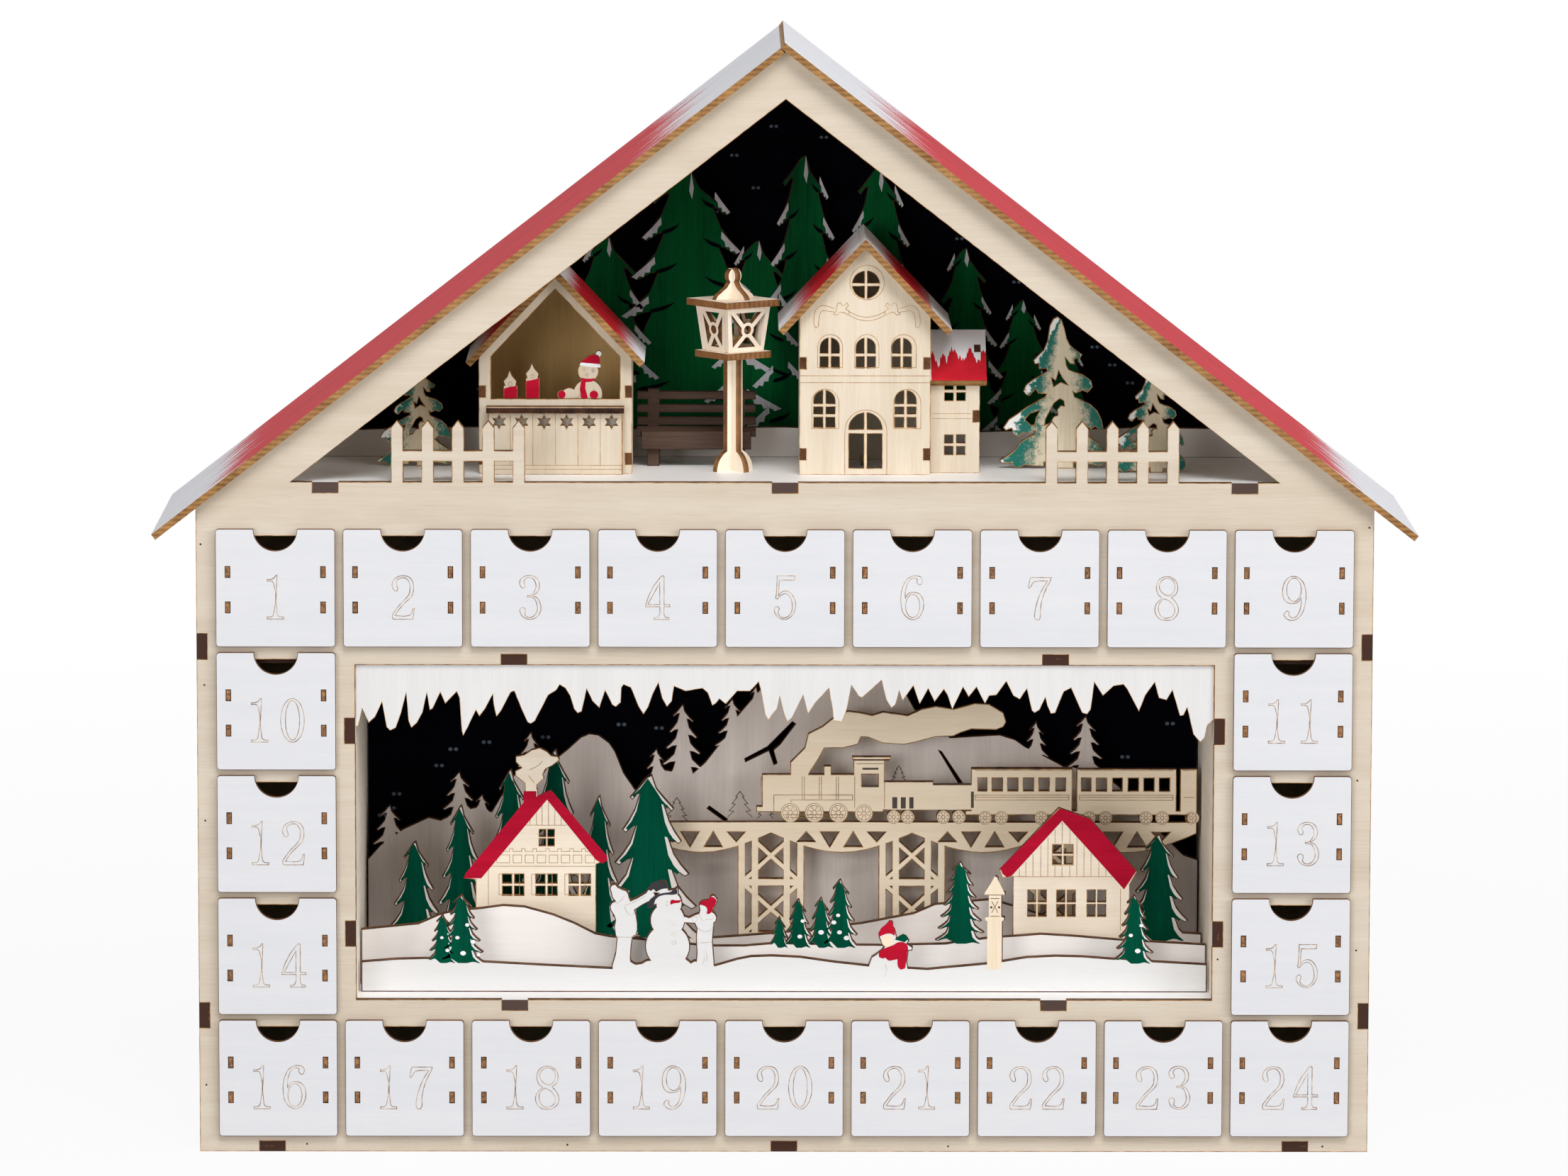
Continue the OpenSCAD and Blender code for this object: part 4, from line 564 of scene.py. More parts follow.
def firFinish():
    material, shader, where, normal = startFinish("firSpray")
    at = millimetres(where)
    nearest = None
    for place, share in firSpray["trees"]:
        tall = firSpray["height"] * share
        rise = over(minus(at[2], firSpray["foot"]), tall)
        left = addNode("ShaderNodeClamp",
                       (minus(firSpray["tip"], rise), *firSpray["left"])).outputs[0]
        half = times(sums("POWER", left, firSpray["bulge"]), tall * firSpray["spread"])
        reach = over(unsigned(minus(at[0], place * firSpray["panel"])), half)
        nearest = reach if nearest is None else smaller(nearest, reach)
    by = firSpray["raggedBy"]
    nearest = plus(nearest, ramp(noise(where, *firSpray["ragged"]), *middling, -by, by))
    by = firSpray["gritBy"]
    gritty = plus(nearest, ramp(noise(where, *firSpray["grit"]), *middling, -by, by))
    wood = grainOf(where, woods["firBoard"], alongZ)
    look = blendTones(ramp(gritty, *firSpray["green"]), wood["Color"],
                      tone(*firSpray["greenTone"]))
    look = blendTones(ramp(nearest, *firSpray["white"]), look, tone(*firSpray["whiteTone"]))
    isFace = useGroup(boardFace, normal=normal)["Mask"]
    plug(shader.inputs["Base Color"],
         blendTones(isFace, cutEdge(where, "thin", charred=0.7, ply=0.8), look))
    relief(shader, wood["Height"], strength=0.2)
    return material


wear("attic_firs", firFinish())
print("market finished")


# Light string and battery box: plastic with faint darker blotches and a fine grit
plastic = {"blotches": (60.0, 2.0), "darker": 0.82, "grit": (2600.0, 2.0), "gritDepth": 0.0001}


def plasticFinish(name, base, rough):
    material, shader, where = startFinish(name, rough, shine=0.4)[:3]
    blotches = noise(where, *plastic["blotches"])
    plug(shader.inputs["Base Color"], blendTones(
        ramp(blotches, 0.35, 0.7), tone(*base), tone(*(v * plastic["darker"] for v in base))))
    plug(shader.inputs["Roughness"], ramp(blotches, *middling, rough, rough + 0.12))
    relief(shader, noise(where, *plastic["grit"]), 0.15, plastic["gritDepth"])
    return material


wear("light_string", plasticFinish("wireCoat", (214, 190, 128), rough=0.35))
wear("battery_box", plasticFinish("boxPlastic", (34, 34, 37), rough=0.45))
wear("battery_door", plasticFinish("lidPlastic", (38, 38, 41), rough=0.42))
wear("switch_knob", plasticFinish("knobPlastic", (226, 226, 222), rough=0.4))
print("lights finished")


# Paints and scorch marks laid on the boards
def paintFinish(name, light, dark, grain=alongX, rough=0.5, shine=0.3, contrast=1.0, bump=0.15):
    material, shader, where = startFinish(name, rough, shine)[:3]
    painted = grainOf(where, (light, dark), grain, contrast)
    plug(shader.inputs["Base Color"], painted["Color"])
    plug(shader.inputs["Roughness"], ramp(painted["Height"], *heights, rough, rough + 0.1))
    relief(shader, painted["Height"], bump)
    return material


# A laser's line: darker where the beam turned, paler where it ran
def lineFinish(name, pale, burnt, blotch=260.0):
    material, shader, where = startFinish(name, rough=0.8, shine=0.1)[:3]
    mask = ramp(noise(where, blotch), 0.35, 0.65)
    plug(shader.inputs["Base Color"], blendTones(mask, tone(*pale), tone(*burnt)))
    relief(shader, mask, strength=0.2)
    return material


paints = {
    "red": paintFinish("clothRed", (188, 17, 46), (156, 8, 37), rough=0.7, shine=0.08),
    "roofBand": paintFinish("roofBandRed", (184, 15, 48), (158, 8, 40), rough=0.7, shine=0.08),
    "green": paintFinish("firGreen", (0, 82, 60), (0, 59, 43), alongZ, rough=0.8, shine=0.03),
    "white": paintFinish("snowWhite", (228, 228, 229), (219, 219, 221), contrast=0.5),
    "black": paintFinish("hatBlack", (44, 38, 42), (24, 21, 26)),
    "void": paintFinish("nightVoid", (8, 9, 16), (2, 2, 6), rough=0.8, shine=0.03),
    "skin": paintFinish("faceTone", (232, 212, 188), (222, 200, 174)),
    "bare": paintFinish("bareWood", (232, 217, 194), (216, 198, 172), alongZ),
    "frost": paintFinish("forestSnow", (196, 198, 206), (158, 156, 158), alongZ),
    "star": paintFinish("starDot", (92, 108, 122), (52, 64, 80)),
    # painted shade for the dark inside of cut slots
    "slotShade": paintFinish("shadowHole", (92, 80, 70), (62, 54, 48)),
    "endGrain": paintFinish("endGrain", (112, 74, 46), (58, 36, 24), (240, 60, 240), rough=0.8,
                            shine=0.1),
    "char": lineFinish("charred", (66, 42, 30), (34, 22, 18)),
    "scorch": lineFinish("scorchLine", (186, 146, 98), (112, 72, 42)),
    "scorchPale": lineFinish("scorchPale", (206, 176, 134), (140, 98, 62)),
    "scorchDark": lineFinish("scorchDark", (104, 72, 54), (52, 34, 28)),
    "engraving": lineFinish("engraving", (196, 176, 156), (122, 92, 70), 420.0),
    "engraveWood": lineFinish("engraveWood", (190, 154, 108), (140, 100, 60)),
    "engraveSnow": lineFinish("engraveSnow", (206, 198, 190), (146, 130, 118), 420.0),
}
print("paints mixed")

# The maker's drawing: a square grid on the front panel, seen from where the camera stands.
# A place gives the height of the grid's foot and the shift of a drawing on it
drawing = {"unit": 0.25314, "stretch": 1.013, "panel": -53.0, "eyeX": -20.0, "eyeY": 3000.0,
           "eyeZ": 609.0}
stage = {"foot": 55.3, "shift": (-7.0, 11.0)}
attic = {"foot": 242.0, "shift": (-7.0, -0.5)}
plain = {"foot": 55.3, "shift": (0.0, 4.0)}
plainAttic = {"foot": 242.0, "shift": (0.0, 0.0)}


def spot(point, y, place):
    across, up = point[0] + place["shift"][0], point[1] + place["shift"][1]
    grow = 1 + (y - drawing["panel"]) / drawing["eyeY"]
    x = (1 - grow) * drawing["eyeX"] + grow * drawing["unit"] * across
    z = (grow * place["foot"] - (grow - 1) * drawing["eyeZ"]
         + grow * drawing["unit"] * drawing["stretch"] * up)
    return (x, z)


def spots(points, y, place):
    return [spot(p, y, place) for p in points]


def frontOf(node):
    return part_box(node)[0].y / mm


# Coats, lines and dots are thin closed slabs that start a little inside the board; what lies
# on another coat starts further out
coat = {"paint": 0.05, "line": 0.04, "dot": 0.03, "sunk": 0.02, "over": 0.06}
# How a line turns: what counts as no length and no way, how far a corner's point may reach,
# and the cosine from which a corner is rounded
bend = {"noLength": 1e-9, "noWay": 1e-6, "longest": 2.0, "roundFrom": 0.62}
# Widths of the laser's lines
pen = {"hair": 0.14, "figure": 0.15, "ring": 0.16, "wheel": 0.17, "plain": 0.2, "frame": 0.22,
       "hillFir": 0.26}


# A sheet collects the flat shapes that one finish paints on the front of a board
def startSheet():
    return {"verts": [], "faces": []}


def layPatch(sheet, loops, y, thick=coat["paint"]):
    flat = [[Vector((x, z, 0)) for x, z in loop] for loop in loops]
    points = [p for loop in flat for p in loop]
    base = len(sheet["verts"])
    count = len(points)
    sheet["verts"] += [(p.x, y - thick, p.y) for p in points]
    sheet["verts"] += [(p.x, y + coat["sunk"], p.y) for p in points]
    for a, b, c in tessellate_polygon(flat):
        sheet["faces"].append((base + a, base + b, base + c))
        sheet["faces"].append((base + count + c, base + count + b, base + count + a))
    start = base
    for loop in flat:
        n = len(loop)
        for k in range(n):
            a, b = start + k, start + (k + 1) % n
            sheet["faces"].append((a, b, b + count, a + count))
        start += n


# Both rims of a line: each corner moved along the half angle of its two sides
def offsets(points, closed, left, right):
    n = len(points)
    rims = []
    for k in range(n):
        here = Vector(points[k])
        before = Vector(points[k - 1]) if (closed or k > 0) else None
        after = Vector(points[(k + 1) % n]) if (closed or k < n - 1) else None
        ahead = (after - here) if after is not None else (here - before)
        behind = (here - before) if before is not None else ahead
        ahead = (ahead if ahead.length > bend["noLength"] else behind).normalized()
        behind = behind.normalized() if behind.length > bend["noLength"] else ahead
        across = Vector((-ahead.y, ahead.x))
        side = across + Vector((-behind.y, behind.x))
        side = side.normalized() if side.length > bend["noWay"] else across
        grow = 1 / max(1 / bend["longest"], side.dot(across))
        rims.append((here + side * left * grow, here - side * right * grow))
    return rims


# A line has half its width on either side of its points, or all of it inside them
def layLine(sheet, points, y, width, closed=False, thick=coat["line"], inner=False):
    left, right = (width, 0.0) if inner else (width / 2, width / 2)
    rims = offsets(points, closed, left, right)
    base = len(sheet["verts"])
    for a, b in rims:
        sheet["verts"] += [(a.x, y - thick, a.y), (b.x, y - thick, b.y),
                           (b.x, y + coat["sunk"], b.y), (a.x, y + coat["sunk"], a.y)]
    n = len(rims)
    for k in range(n if closed else n - 1):
        a, b = base + 4 * k, base + 4 * ((k + 1) % n)
        for i in range(4):
            j = (i + 1) % 4
            sheet["faces"].append((a + i, a + j, b + j, b + i))
    if not closed:
        sheet["faces"].append((base, base + 3, base + 2, base + 1))
        last = base + 4 * (n - 1)
        sheet["faces"].append((last, last + 1, last + 2, last + 3))


def finishSheet(name, sheet, finish, body="case"):
    if not sheet["faces"]:
        return
    mesh = bpy.data.meshes.new(name)
    mesh.from_pydata([tuple(c * mm for c in v) for v in sheet["verts"]], [], sheet["faces"])
    work = bmesh.new()
    work.from_mesh(mesh)
    bmesh.ops.recalc_face_normals(work, faces=work.faces[:])
    work.to_mesh(mesh)
    work.free()
    mesh.materials.append(paints[finish])
    piece = bpy.data.objects.new(name, mesh)
    bpy.context.collection.objects.link(piece)
    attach(piece, body)


# Curves through given points; a corner of more than about 50 degrees stays a corner
def smoothPath(points, closed=True, steps=3):
    n = len(points)
    path = []
    spans = [(Vector(points[k]), Vector(points[(k + 1) % n]))
             for k in range(n if closed else n - 1)]

    def slopeAt(k, own):
        first, second = spans[k - 1], spans[k % len(spans)]
        if not closed and k in (0, len(spans)):
            return own
        a, b = first[1] - first[0], second[1] - second[0]
        if min(a.length, b.length) < bend["noLength"]:
            return own
        a, b = a.normalized(), b.normalized()
        return own if a.dot(b) < bend["roundFrom"] else (a + b).normalized() * own.length

    for k, (a, b) in enumerate(spans):
        own = b - a
        slopeA, slopeB = slopeAt(k, own), slopeAt(k + 1, own)
        for i in range(steps):
            t = i / steps
            path.append(tuple(
                (2 * t ** 3 - 3 * t ** 2 + 1) * a + (t ** 3 - 2 * t ** 2 + t) * slopeA
                + (-2 * t ** 3 + 3 * t ** 2) * b + (t ** 3 - t ** 2) * slopeB))
    if not closed:
        path.append(tuple(points[-1]))
    return path


def oval(x, z, rx, rz, count=24, start=0.0, sweep=360.0):
    steps = count if sweep >= 360 else count - 1
    turns = [math.radians(start + sweep * k / steps) for k in range(count)]
    return [(x + rx * math.cos(turn), z + rz * math.sin(turn)) for turn in turns]


def frame4(left, low, right, high):
    return [(left, low), (right, low), (right, high), (left, high)]


# Round-headed frame: sill, jambs and half circle
def archLine(x, low, half, high):
    return [(x - half, low), (x + half, low)] + oval(x, high - half, half, half, 13, 0, 180)


# Corners are matched on a grid of 500 to the millimetre; tab ends are the small faces
rim = {"front": 0.99, "grid": 500, "tabArea": 14, "drawerFront": -55, "drawerWidth": 0.14}


# Rims of a node's flat faces that look to the front, kept apart by depth
def frontRims(node):
    mesh = nodes[node].data
    spotOf, edge = {}, {}
    for poly in mesh.polygons:
        if -poly.normal.y < rim["front"]:
            continue
        ring = []
        for i in poly.vertices:
            co = mesh.vertices[i].co / mm
            key = tuple(round(c * rim["grid"]) for c in co)
            spotOf[key] = co
            ring.append(key)
        for a, b in zip(ring, ring[1:] + ring[:1]):
            if edge.get((b, a), 0) > 0:
                edge[(b, a)] -= 1
            else:
                edge[(a, b)] = edge.get((a, b), 0) + 1
    following = {}
    for (a, b), count in edge.items():
        for _ in range(count):
            following.setdefault(a, []).append(b)
    rims = []
    while following:
        start = next(iter(following))
        loop, here = [], start
        while here in following:
            loop.append(here)
            after = following[here].pop()
            if not following[here]:
                del following[here]
            here = after
            if here == start:
                break
        if len(loop) > 2:
            rims.append([spotOf[k] for k in loop])
    return rims


def areaOf(loop):
    return 0.5 * sum(a[0] * b[1] - b[0] * a[1] for a, b in zip(loop, loop[1:] + loop[:1]))


# Scorched rims: a narrow line just inside every edge that the beam cut, and dark tab ends
rimLook = {
    "front_panel": ("scorch", 0.22), "icicle_valance": ("scorchPale", 0.2),
    "snow_front": ("scorchDark", 0.36), "snow_middle": ("scorchDark", 0.34),
    "cottages": ("scorch", 0.26), "fir_row": ("scorchDark", 0.34), "railway": ("scorch", 0.3),
    "mountains": ("scorchDark", 0.26), "attic_forest": ("char", 0.3),
    "attic_firs": ("scorch", 0.3), "bench": ("char", 0.2), "stall_walls": ("scorchPale", 0.24),
    "stall_counter": ("scorch", 0.2), "house_walls": ("scorchPale", 0.22),
    "attic_hill": ("scorchDark", 0.2),
}
withTabs = ("house_walls", "stall_walls")


def scorchRims(node, width, foremost=math.inf):
    sheet, ends = startSheet(), startSheet()
    for loop in frontRims(node):
        y = loop[0].y
        flat = [(p.x, p.z) for p in loop]
        if node in withTabs and 0 < areaOf(flat) < rim["tabArea"]:
            layPatch(ends, [flat], y, coat["dot"])
        elif y < foremost:
            layLine(sheet, flat, y, width, True, coat["dot"], True)
    return sheet, ends


for node, (finish, width) in rimLook.items():
    sheet, ends = scorchRims(node, width)
    finishSheet(node + "Rim", sheet, finish)
    finishSheet(node + "Ends", ends, "endGrain")
for name in drawerNames:
    sheet = scorchRims(name, rim["drawerWidth"], rim["drawerFront"])[0]
    finishSheet(name + "Rim", sheet, "scorchDark", name)
print("rims scorched")

# Numerals: outlines on a grid 62 units high, drawn from the foot's middle. An oval is smooth
# already, and its number of points tells it from the listed outlines
numeral = {"unit": 0.2535, "foot": 10.0, "apart": 46.0, "line": 0.27, "ovals": (24, 36)}
digitLines = {
    1: [[(-11.5, 56), (-11.5, 53.5), (-5, 53.5), (-2.5, 51), (-2.5, 8), (-4, 4.5), (-7, 3),
         (-11.5, 3), (-11.5, 0), (11.5, 0), (11.5, 3), (7, 3), (4, 4.5), (2.5, 8), (2.5, 62),
         (1, 62), (-2, 58), (-7, 56)]],
    2: [[(-13, 42), (-15, 47), (-14, 53), (-10, 58), (-4, 61), (1, 61.5), (8, 60), (13, 55),
         (15, 47), (15, 40), (12, 32), (6, 26), (-1, 19), (-8, 10), (-11, 5), (8, 5), (11, 7),
         (13, 11), (14, 15), (16, 15), (15, 7), (14, 0), (-14, 0), (-15, 5), (-10, 13),
         (-3, 22), (4, 29), (9, 36), (10, 43), (10, 49), (8, 54), (4, 58), (-1, 58.5),
         (-7, 56), (-9, 52), (-8, 47), (-7, 43), (-8, 40), (-11, 40)]],
    3: [[(-13, 46), (-15, 52), (-12, 58), (-6, 61.5), (0, 62), (7, 60), (12, 54), (13, 47),
         (11, 40), (7, 36), (3, 34), (4, 33), (9, 31), (13, 25), (15, 17), (14, 10), (10, 4),
         (4, 0.5), (-2, 0), (-8, 2), (-13, 7), (-15, 13), (-13, 16), (-10, 17), (-7, 15),
         (-7, 11), (-8, 7), (-4, 3), (2, 3), (7, 7), (10, 14), (9, 22), (6, 29), (1, 31.5),
         (-4, 31.5), (-4, 33.5), (1, 34), (5, 38), (8, 45), (7, 53), (3, 58), (-2, 59),
         (-7, 57), (-9, 53), (-7, 48), (-8, 45), (-11, 44)]],
    4: [[(-17, 18), (-17, 20), (4, 60), (7, 62), (9, 61), (9, 21), (17, 21), (17, 18), (9, 18),
         (9, 7), (11, 3), (16, 2.5), (16, 0), (-5, 0), (-5, 2.5), (0, 3), (2, 6), (3, 9),
         (3, 18)], [(-14, 21), (3, 52), (3, 21)]],
    5: [[(-11, 62), (14, 62), (13, 56), (-8, 56), (-9.5, 33), (-6, 38), (0, 40.5), (6, 39),
         (12, 32), (15, 22), (13, 11), (7, 3), (-1, 0), (-9, 3), (-14, 9), (-15, 14),
         (-13, 18), (-10, 18.5), (-8, 16), (-9, 12), (-10, 9), (-6, 4), (0, 2.5), (6, 6),
         (10, 14), (10, 23), (7, 32), (2, 36.5), (-3, 36), (-8, 32), (-10, 29), (-13, 30),
         (-12, 39)]],
    6: [[(7, 52), (9, 49.5), (12, 50), (14, 55), (12, 60), (7, 62), (1, 62), (-7, 58),
         (-13, 48), (-16, 36), (-16, 23), (-13, 10), (-7, 3), (1, 0), (9, 3), (14, 11),
         (16, 21), (14, 31), (9, 37), (2, 39), (-4, 38), (-8, 34), (-10, 30), (-10, 38),
         (-8, 48), (-3, 57), (3, 59), (7, 57), (6, 54)], oval(0.5, 19.5, 10, 16.5)],
    7: [[(-13, 60), (16, 60), (15, 56), (8, 42), (3, 27), (1, 13), (1, 4), (-1, 0), (-5, 0),
         (-7, 4), (-6, 15), (-2, 30), (4, 44), (11, 55), (-3, 55), (-9, 53), (-12, 48),
         (-14, 45), (-16, 46), (-15, 52)]],
    8: [[(-7, 31), (-13, 37), (-15, 46), (-12, 56), (-6, 60.5), (0, 61.5), (7, 60), (13, 54),
         (15, 45), (12, 36), (6, 32), (11, 27), (15, 20), (16, 12), (12, 4), (6, 0), (-1, -0.5),
         (-9, 1), (-15, 7), (-17, 16), (-14, 24)],
        [(3, 34), (8, 38), (11, 46), (9, 55), (3, 59), (-3, 58.5), (-9, 54), (-11, 47),
         (-8, 40), (-3, 36)],
        [(-4, 30), (-9, 26), (-12, 18), (-10, 8), (-4, 3), (3, 3), (9, 7), (11, 15), (8, 22),
         (3, 27)]],
    9: [[(-7.5, 8), (-6.5, 11.5), (-9.5, 13), (-12.5, 11), (-14.5, 7), (-10.5, 2),
         (-3.5, -0.5), (4.5, 2), (11.5, 10), (15.5, 24), (16.5, 38), (13.5, 51), (7.5, 59),
         (-0.5, 62), (-8.5, 60), (-14.5, 52), (-16.5, 41), (-14.5, 30), (-8.5, 24.5),
         (-1.5, 23.5), (5.5, 26), (9.5, 32), (9.5, 21), (6.5, 10), (1.5, 4), (-3.5, 3),
         (-6.5, 6)], oval(-0.5, 43, 10.3, 16.5)],
    0: [oval(0, 31, 16.5, 31, 36), oval(0, 31, 10, 28, 36)],
}
for number, name in enumerate(drawerNames, 1):
    low, high = (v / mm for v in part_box(name))
    middle = (low.x + high.x) / 2
    digits = [int(c) for c in str(number)]
    sheet = startSheet()
    for place, digit in enumerate(digits):
        shift = (place - (len(digits) - 1) / 2) * numeral["apart"]
        for line in digitLines[digit]:
            points = line if len(line) in numeral["ovals"] else smoothPath(line)
            layLine(sheet, [(middle + (x + shift) * numeral["unit"],
                             low.z + numeral["foot"] + z * numeral["unit"]) for x, z in points],
                    low.y, numeral["line"], True)
    finishSheet("numeral%02d" % number, sheet, "engraving", name)
print("numerals engraved")


# Firs: each tier of branches reaches further out, the left ones sit a little higher. Branch
# points are shares of the reach and of the tier's height, and say how the top tier is slimmed
fir = {"topReach": 0.28, "lift": 0.35, "left": 0.93, "right": 0.78, "slim": 0.6, "tip": 0.94,
       "trunk": 0.09}
coreBranch = [(0.56, 0.54, 2), (0.74, 0.23, 0.5), (0.94, 0.02, 0), (0.87, -0.05, 0),
              (0.66, 0.09, 0), (0.54, 0.11, 0)]


def tierOf(width, height, tiers, i):
    share = (i + 1) / tiers
    reach = width / 2 * (fir["topReach"] + (1 - fir["topReach"]) * share)
    return reach, height / tiers, height * (1 - share)


# A fir's painted core: green inside, with the branch ends left white
def firCore(width, height, tiers):
    def side(share, lift):
        points = []
        for i in range(tiers):
            reach, step, foot = tierOf(width, height, tiers, i)
            slim = fir["slim"] if i == 0 else 1
            points += [(reach * share * a * slim ** power, max(0, foot + (lift + b) * step))
                       for a, b, power in coreBranch]
        return points

    trunk = width * fir["trunk"]
    return ([(0, height * fir["tip"])] + side(fir["right"], 0.0) + [(trunk, 0), (-trunk, 0)]
            + [(-x, z) for x, z in reversed(side(fir["left"], fir["lift"]))])


# Each tree: place, tip, width, foot and tiers, on the drawing's grid
firs = {
    "snow_front": [(-455, 144, 68, 48, 6), (-482, 116, 46, 48, 5), (496, 145, 60, 48, 6)],
    "snow_middle": [(-6, 114, 30, 70, 3), (21, 139, 44, 70, 4), (53, 141, 44, 70, 4),
                    (80, 167, 56, 70, 5), (250, 192, 74, 76, 7)],
    "fir_row": [(-520, 220, 78, 88, 4), (-455, 271, 80, 84, 5), (-385, 322, 90, 84, 6),
                (-322, 350, 96, 84, 6), (-260, 285, 70, 84, 5), (-187, 314, 148, 84, 5),
                (530, 231, 96, 80, 5)],
}
for node, trees in firs.items():
    sheet = startSheet()
    y = frontOf(node)
    for place, tip, width, foot, tiers in trees:
        core = firCore(width, tip - foot, tiers)
        layPatch(sheet, [spots([(place + x, foot + z) for x, z in core], y, plain)], y)
    finishSheet(node + "Green", sheet, "green")

# White blobs left bare on the small firs: place, height and half width on the grid
blobs = {"snow_front": [(-454, 62, 4), (-440, 78, 3.5), (-462, 84, 3), (-448, 102, 3),
                        (-476, 66, 3), (-484, 84, 2.5), (-432, 60, 3), (500, 66, 4),
                        (490, 88, 3), (505, 102, 3)],
         "snow_middle": [(22, 86, 3.5), (26, 108, 3), (52, 92, 4), (78, 92, 3.5), (88, 84, 4),
                         (76, 116, 3), (70, 106, 3.5)]}
for node, dots in blobs.items():
    snow, ring = startSheet(), startSheet()
    y = frontOf(node)
    for x, z, size in dots:
        shape = spots(oval(x, z, size, size * 0.8, 14), y, plain)
        layPatch(snow, [shape], y - coat["over"])
        layLine(ring, shape, y - coat["over"], pen["ring"], True)
    finishSheet(node + "Blobs", snow, "white")
    finishSheet(node + "BlobRings", ring, "scorchDark")
print("firs painted")

# Cottages: red roof bands, planks, window frames and the smoke's curls
cottageY = frontOf("cottages")
roofBands = [
    [(-446, 161), (-443, 168), (-361, 268), (-361, 284), (-343, 284), (-343, 276), (-325, 285),
     (-320, 283), (-243, 192), (-244, 186), (-250, 182), (-259, 187), (-328, 272), (-421, 161)],
    [(312, 176), (315, 168), (321, 163), (328, 165), (399, 243), (460, 176), (487, 146),
     (504, 172), (439, 245), (401, 259), (395, 260)],
]
sheet = startSheet()
for band in roofBands:
    layPatch(sheet, [spots(band, cottageY, stage)], cottageY)
finishSheet("cottageRoofBands", sheet, "roofBand")


# Scorched lines through the points of a drawing
def engrave(sheet, groups, y, place, width=pen["plain"], closed=False, smooth=False):
    for group in groups:
        path = smoothPath(group, closed) if smooth else group
        layLine(sheet, spots(path, y, place), y, width, closed)


# Left cottage: gable planks, belts, dentils, panes, windows and smoke; right one: planks
# under the gable's slopes, broken by a window
gablePlanks = [(-352, 244), (-343, 254), (-335, 264), (-326, 269), (-317, 259), (-308, 248)]
belts = [[(-359, 236), (-300, 236)], [(-408, 178), (-260, 178)], [(-411, 175), (-411, 118)]]
dentils = {"start": -390, "end": -266, "low": 199, "high": 203, "wide": 5,
           "places": (-381, -364, -348, -330, -313, -296, -279)}
panes = [(-399, -381), (-376, -364), (-359, -347), (-342, -330), (-325, -313), (-308, -296),
         (-291, -279), (-274, -261)]
smoke = [[(-353, 314), (-344, 318), (-338, 322), (-334, 327)],
         [(-354, 306), (-350, 301), (-346, 295)]]
gable = {"middle": 399.5, "tip": 242, "slope": 0.9, "foot": 164, "window": (385, 181, 415, 210),
         "planks": (339, 348, 358, 369, 379, 389, 399, 410, 420, 430, 440, 451, 461)}
trims = [[(331, 164), (470, 164)], [(482, 147), (482, 88)]]

lines = startSheet()
engrave(lines, [[(x, 236), (x, z)] for x, z in gablePlanks] + belts, cottageY, stage)
teeth = [(dentils["start"], dentils["low"])]
for x in dentils["places"]:
    teeth += [(x, dentils["low"]), (x, dentils["high"]), (x + dentils["wide"], dentils["high"]),
              (x + dentils["wide"], dentils["low"])]
engrave(lines, [teeth + [(dentils["end"], dentils["low"])]], cottageY, stage)
engrave(lines, [frame4(a, 183, b, 194) for a, b in panes]
        + [frame4(a, 138, a + 29, 167) for a in (-396, -350, -303)], cottageY, stage, closed=True)
engrave(lines, smoke, cottageY, stage, smooth=True)
left, sill, right, head = gable["window"]
for x in gable["planks"]:
    top = gable["tip"] - abs(x - gable["middle"]) / gable["slope"]
    broken = [(gable["foot"], sill - 1), (head + 1, top)]
    spans = broken if left < x < right else [(gable["foot"], top)]
    engrave(lines, [[(x, a), (x, b)] for a, b in spans], cottageY, stage)
engrave(lines, trims, cottageY, stage)
engrave(lines, [frame4(*gable["window"])], cottageY, stage, closed=True)
finishSheet("cottageLines", lines, "engraveWood")
print("cottages drawn")

# Railway: wheels with spokes, boiler bands, tender slots and the cars' belts
wheel = {"rims": (0.93, 0.74, 0.22), "spokes": 8, "spokeEnds": (0.22, 0.74), "points": 28}
wheels = [(8, 261, 14), (42, 261, 14), (76, 261, 14), (112, 260, 13), (154, 255, 10),
          (174, 255, 10), (224, 255, 10), (246, 255, 10), (283, 254, 10), (306, 254, 10),
          (362, 254, 10), (430, 254, 10), (453, 254, 10), (510, 254, 10), (533, 254, 10),
          (574, 254, 9)]
boilerBands = (32, 35, 56, 59, 80, 83)
trainStrokes = [
    [(-8, 250), (-8, 279), (103, 279), (103, 272), (16, 272), (16, 268)],
    [(106, 305), (106, 261)], [(108, 323), (146, 323)], [(148, 298), (148, 261)],
    [(276, 314), (410, 314)], [(423, 314), (555, 314)], [(568, 314), (586, 314)],
    [(276, 276), (408, 276)], [(423, 276), (555, 276)], [(570, 276), (586, 276)],
    [(-26, 305), (-26, 290)],
]
trainFrames = [(10, 247, 89, 251), (276, 272, 408, 279), (423, 272, 555, 279),
               (117, 315, 139, 317)]
trainSlots = [(159, 260, 166, 276), (171, 260, 178, 276), (183, 260, 189, 276),
              (270, 261, 274, 284), (117, 315, 139, 317), (117, 290, 139, 292)]
trainTops = [(105, 327.5, 155, 329.5), (148, 297.5, 216, 299), (217, 293, 270, 294.5),
             (270, 317.5, 412, 319)]

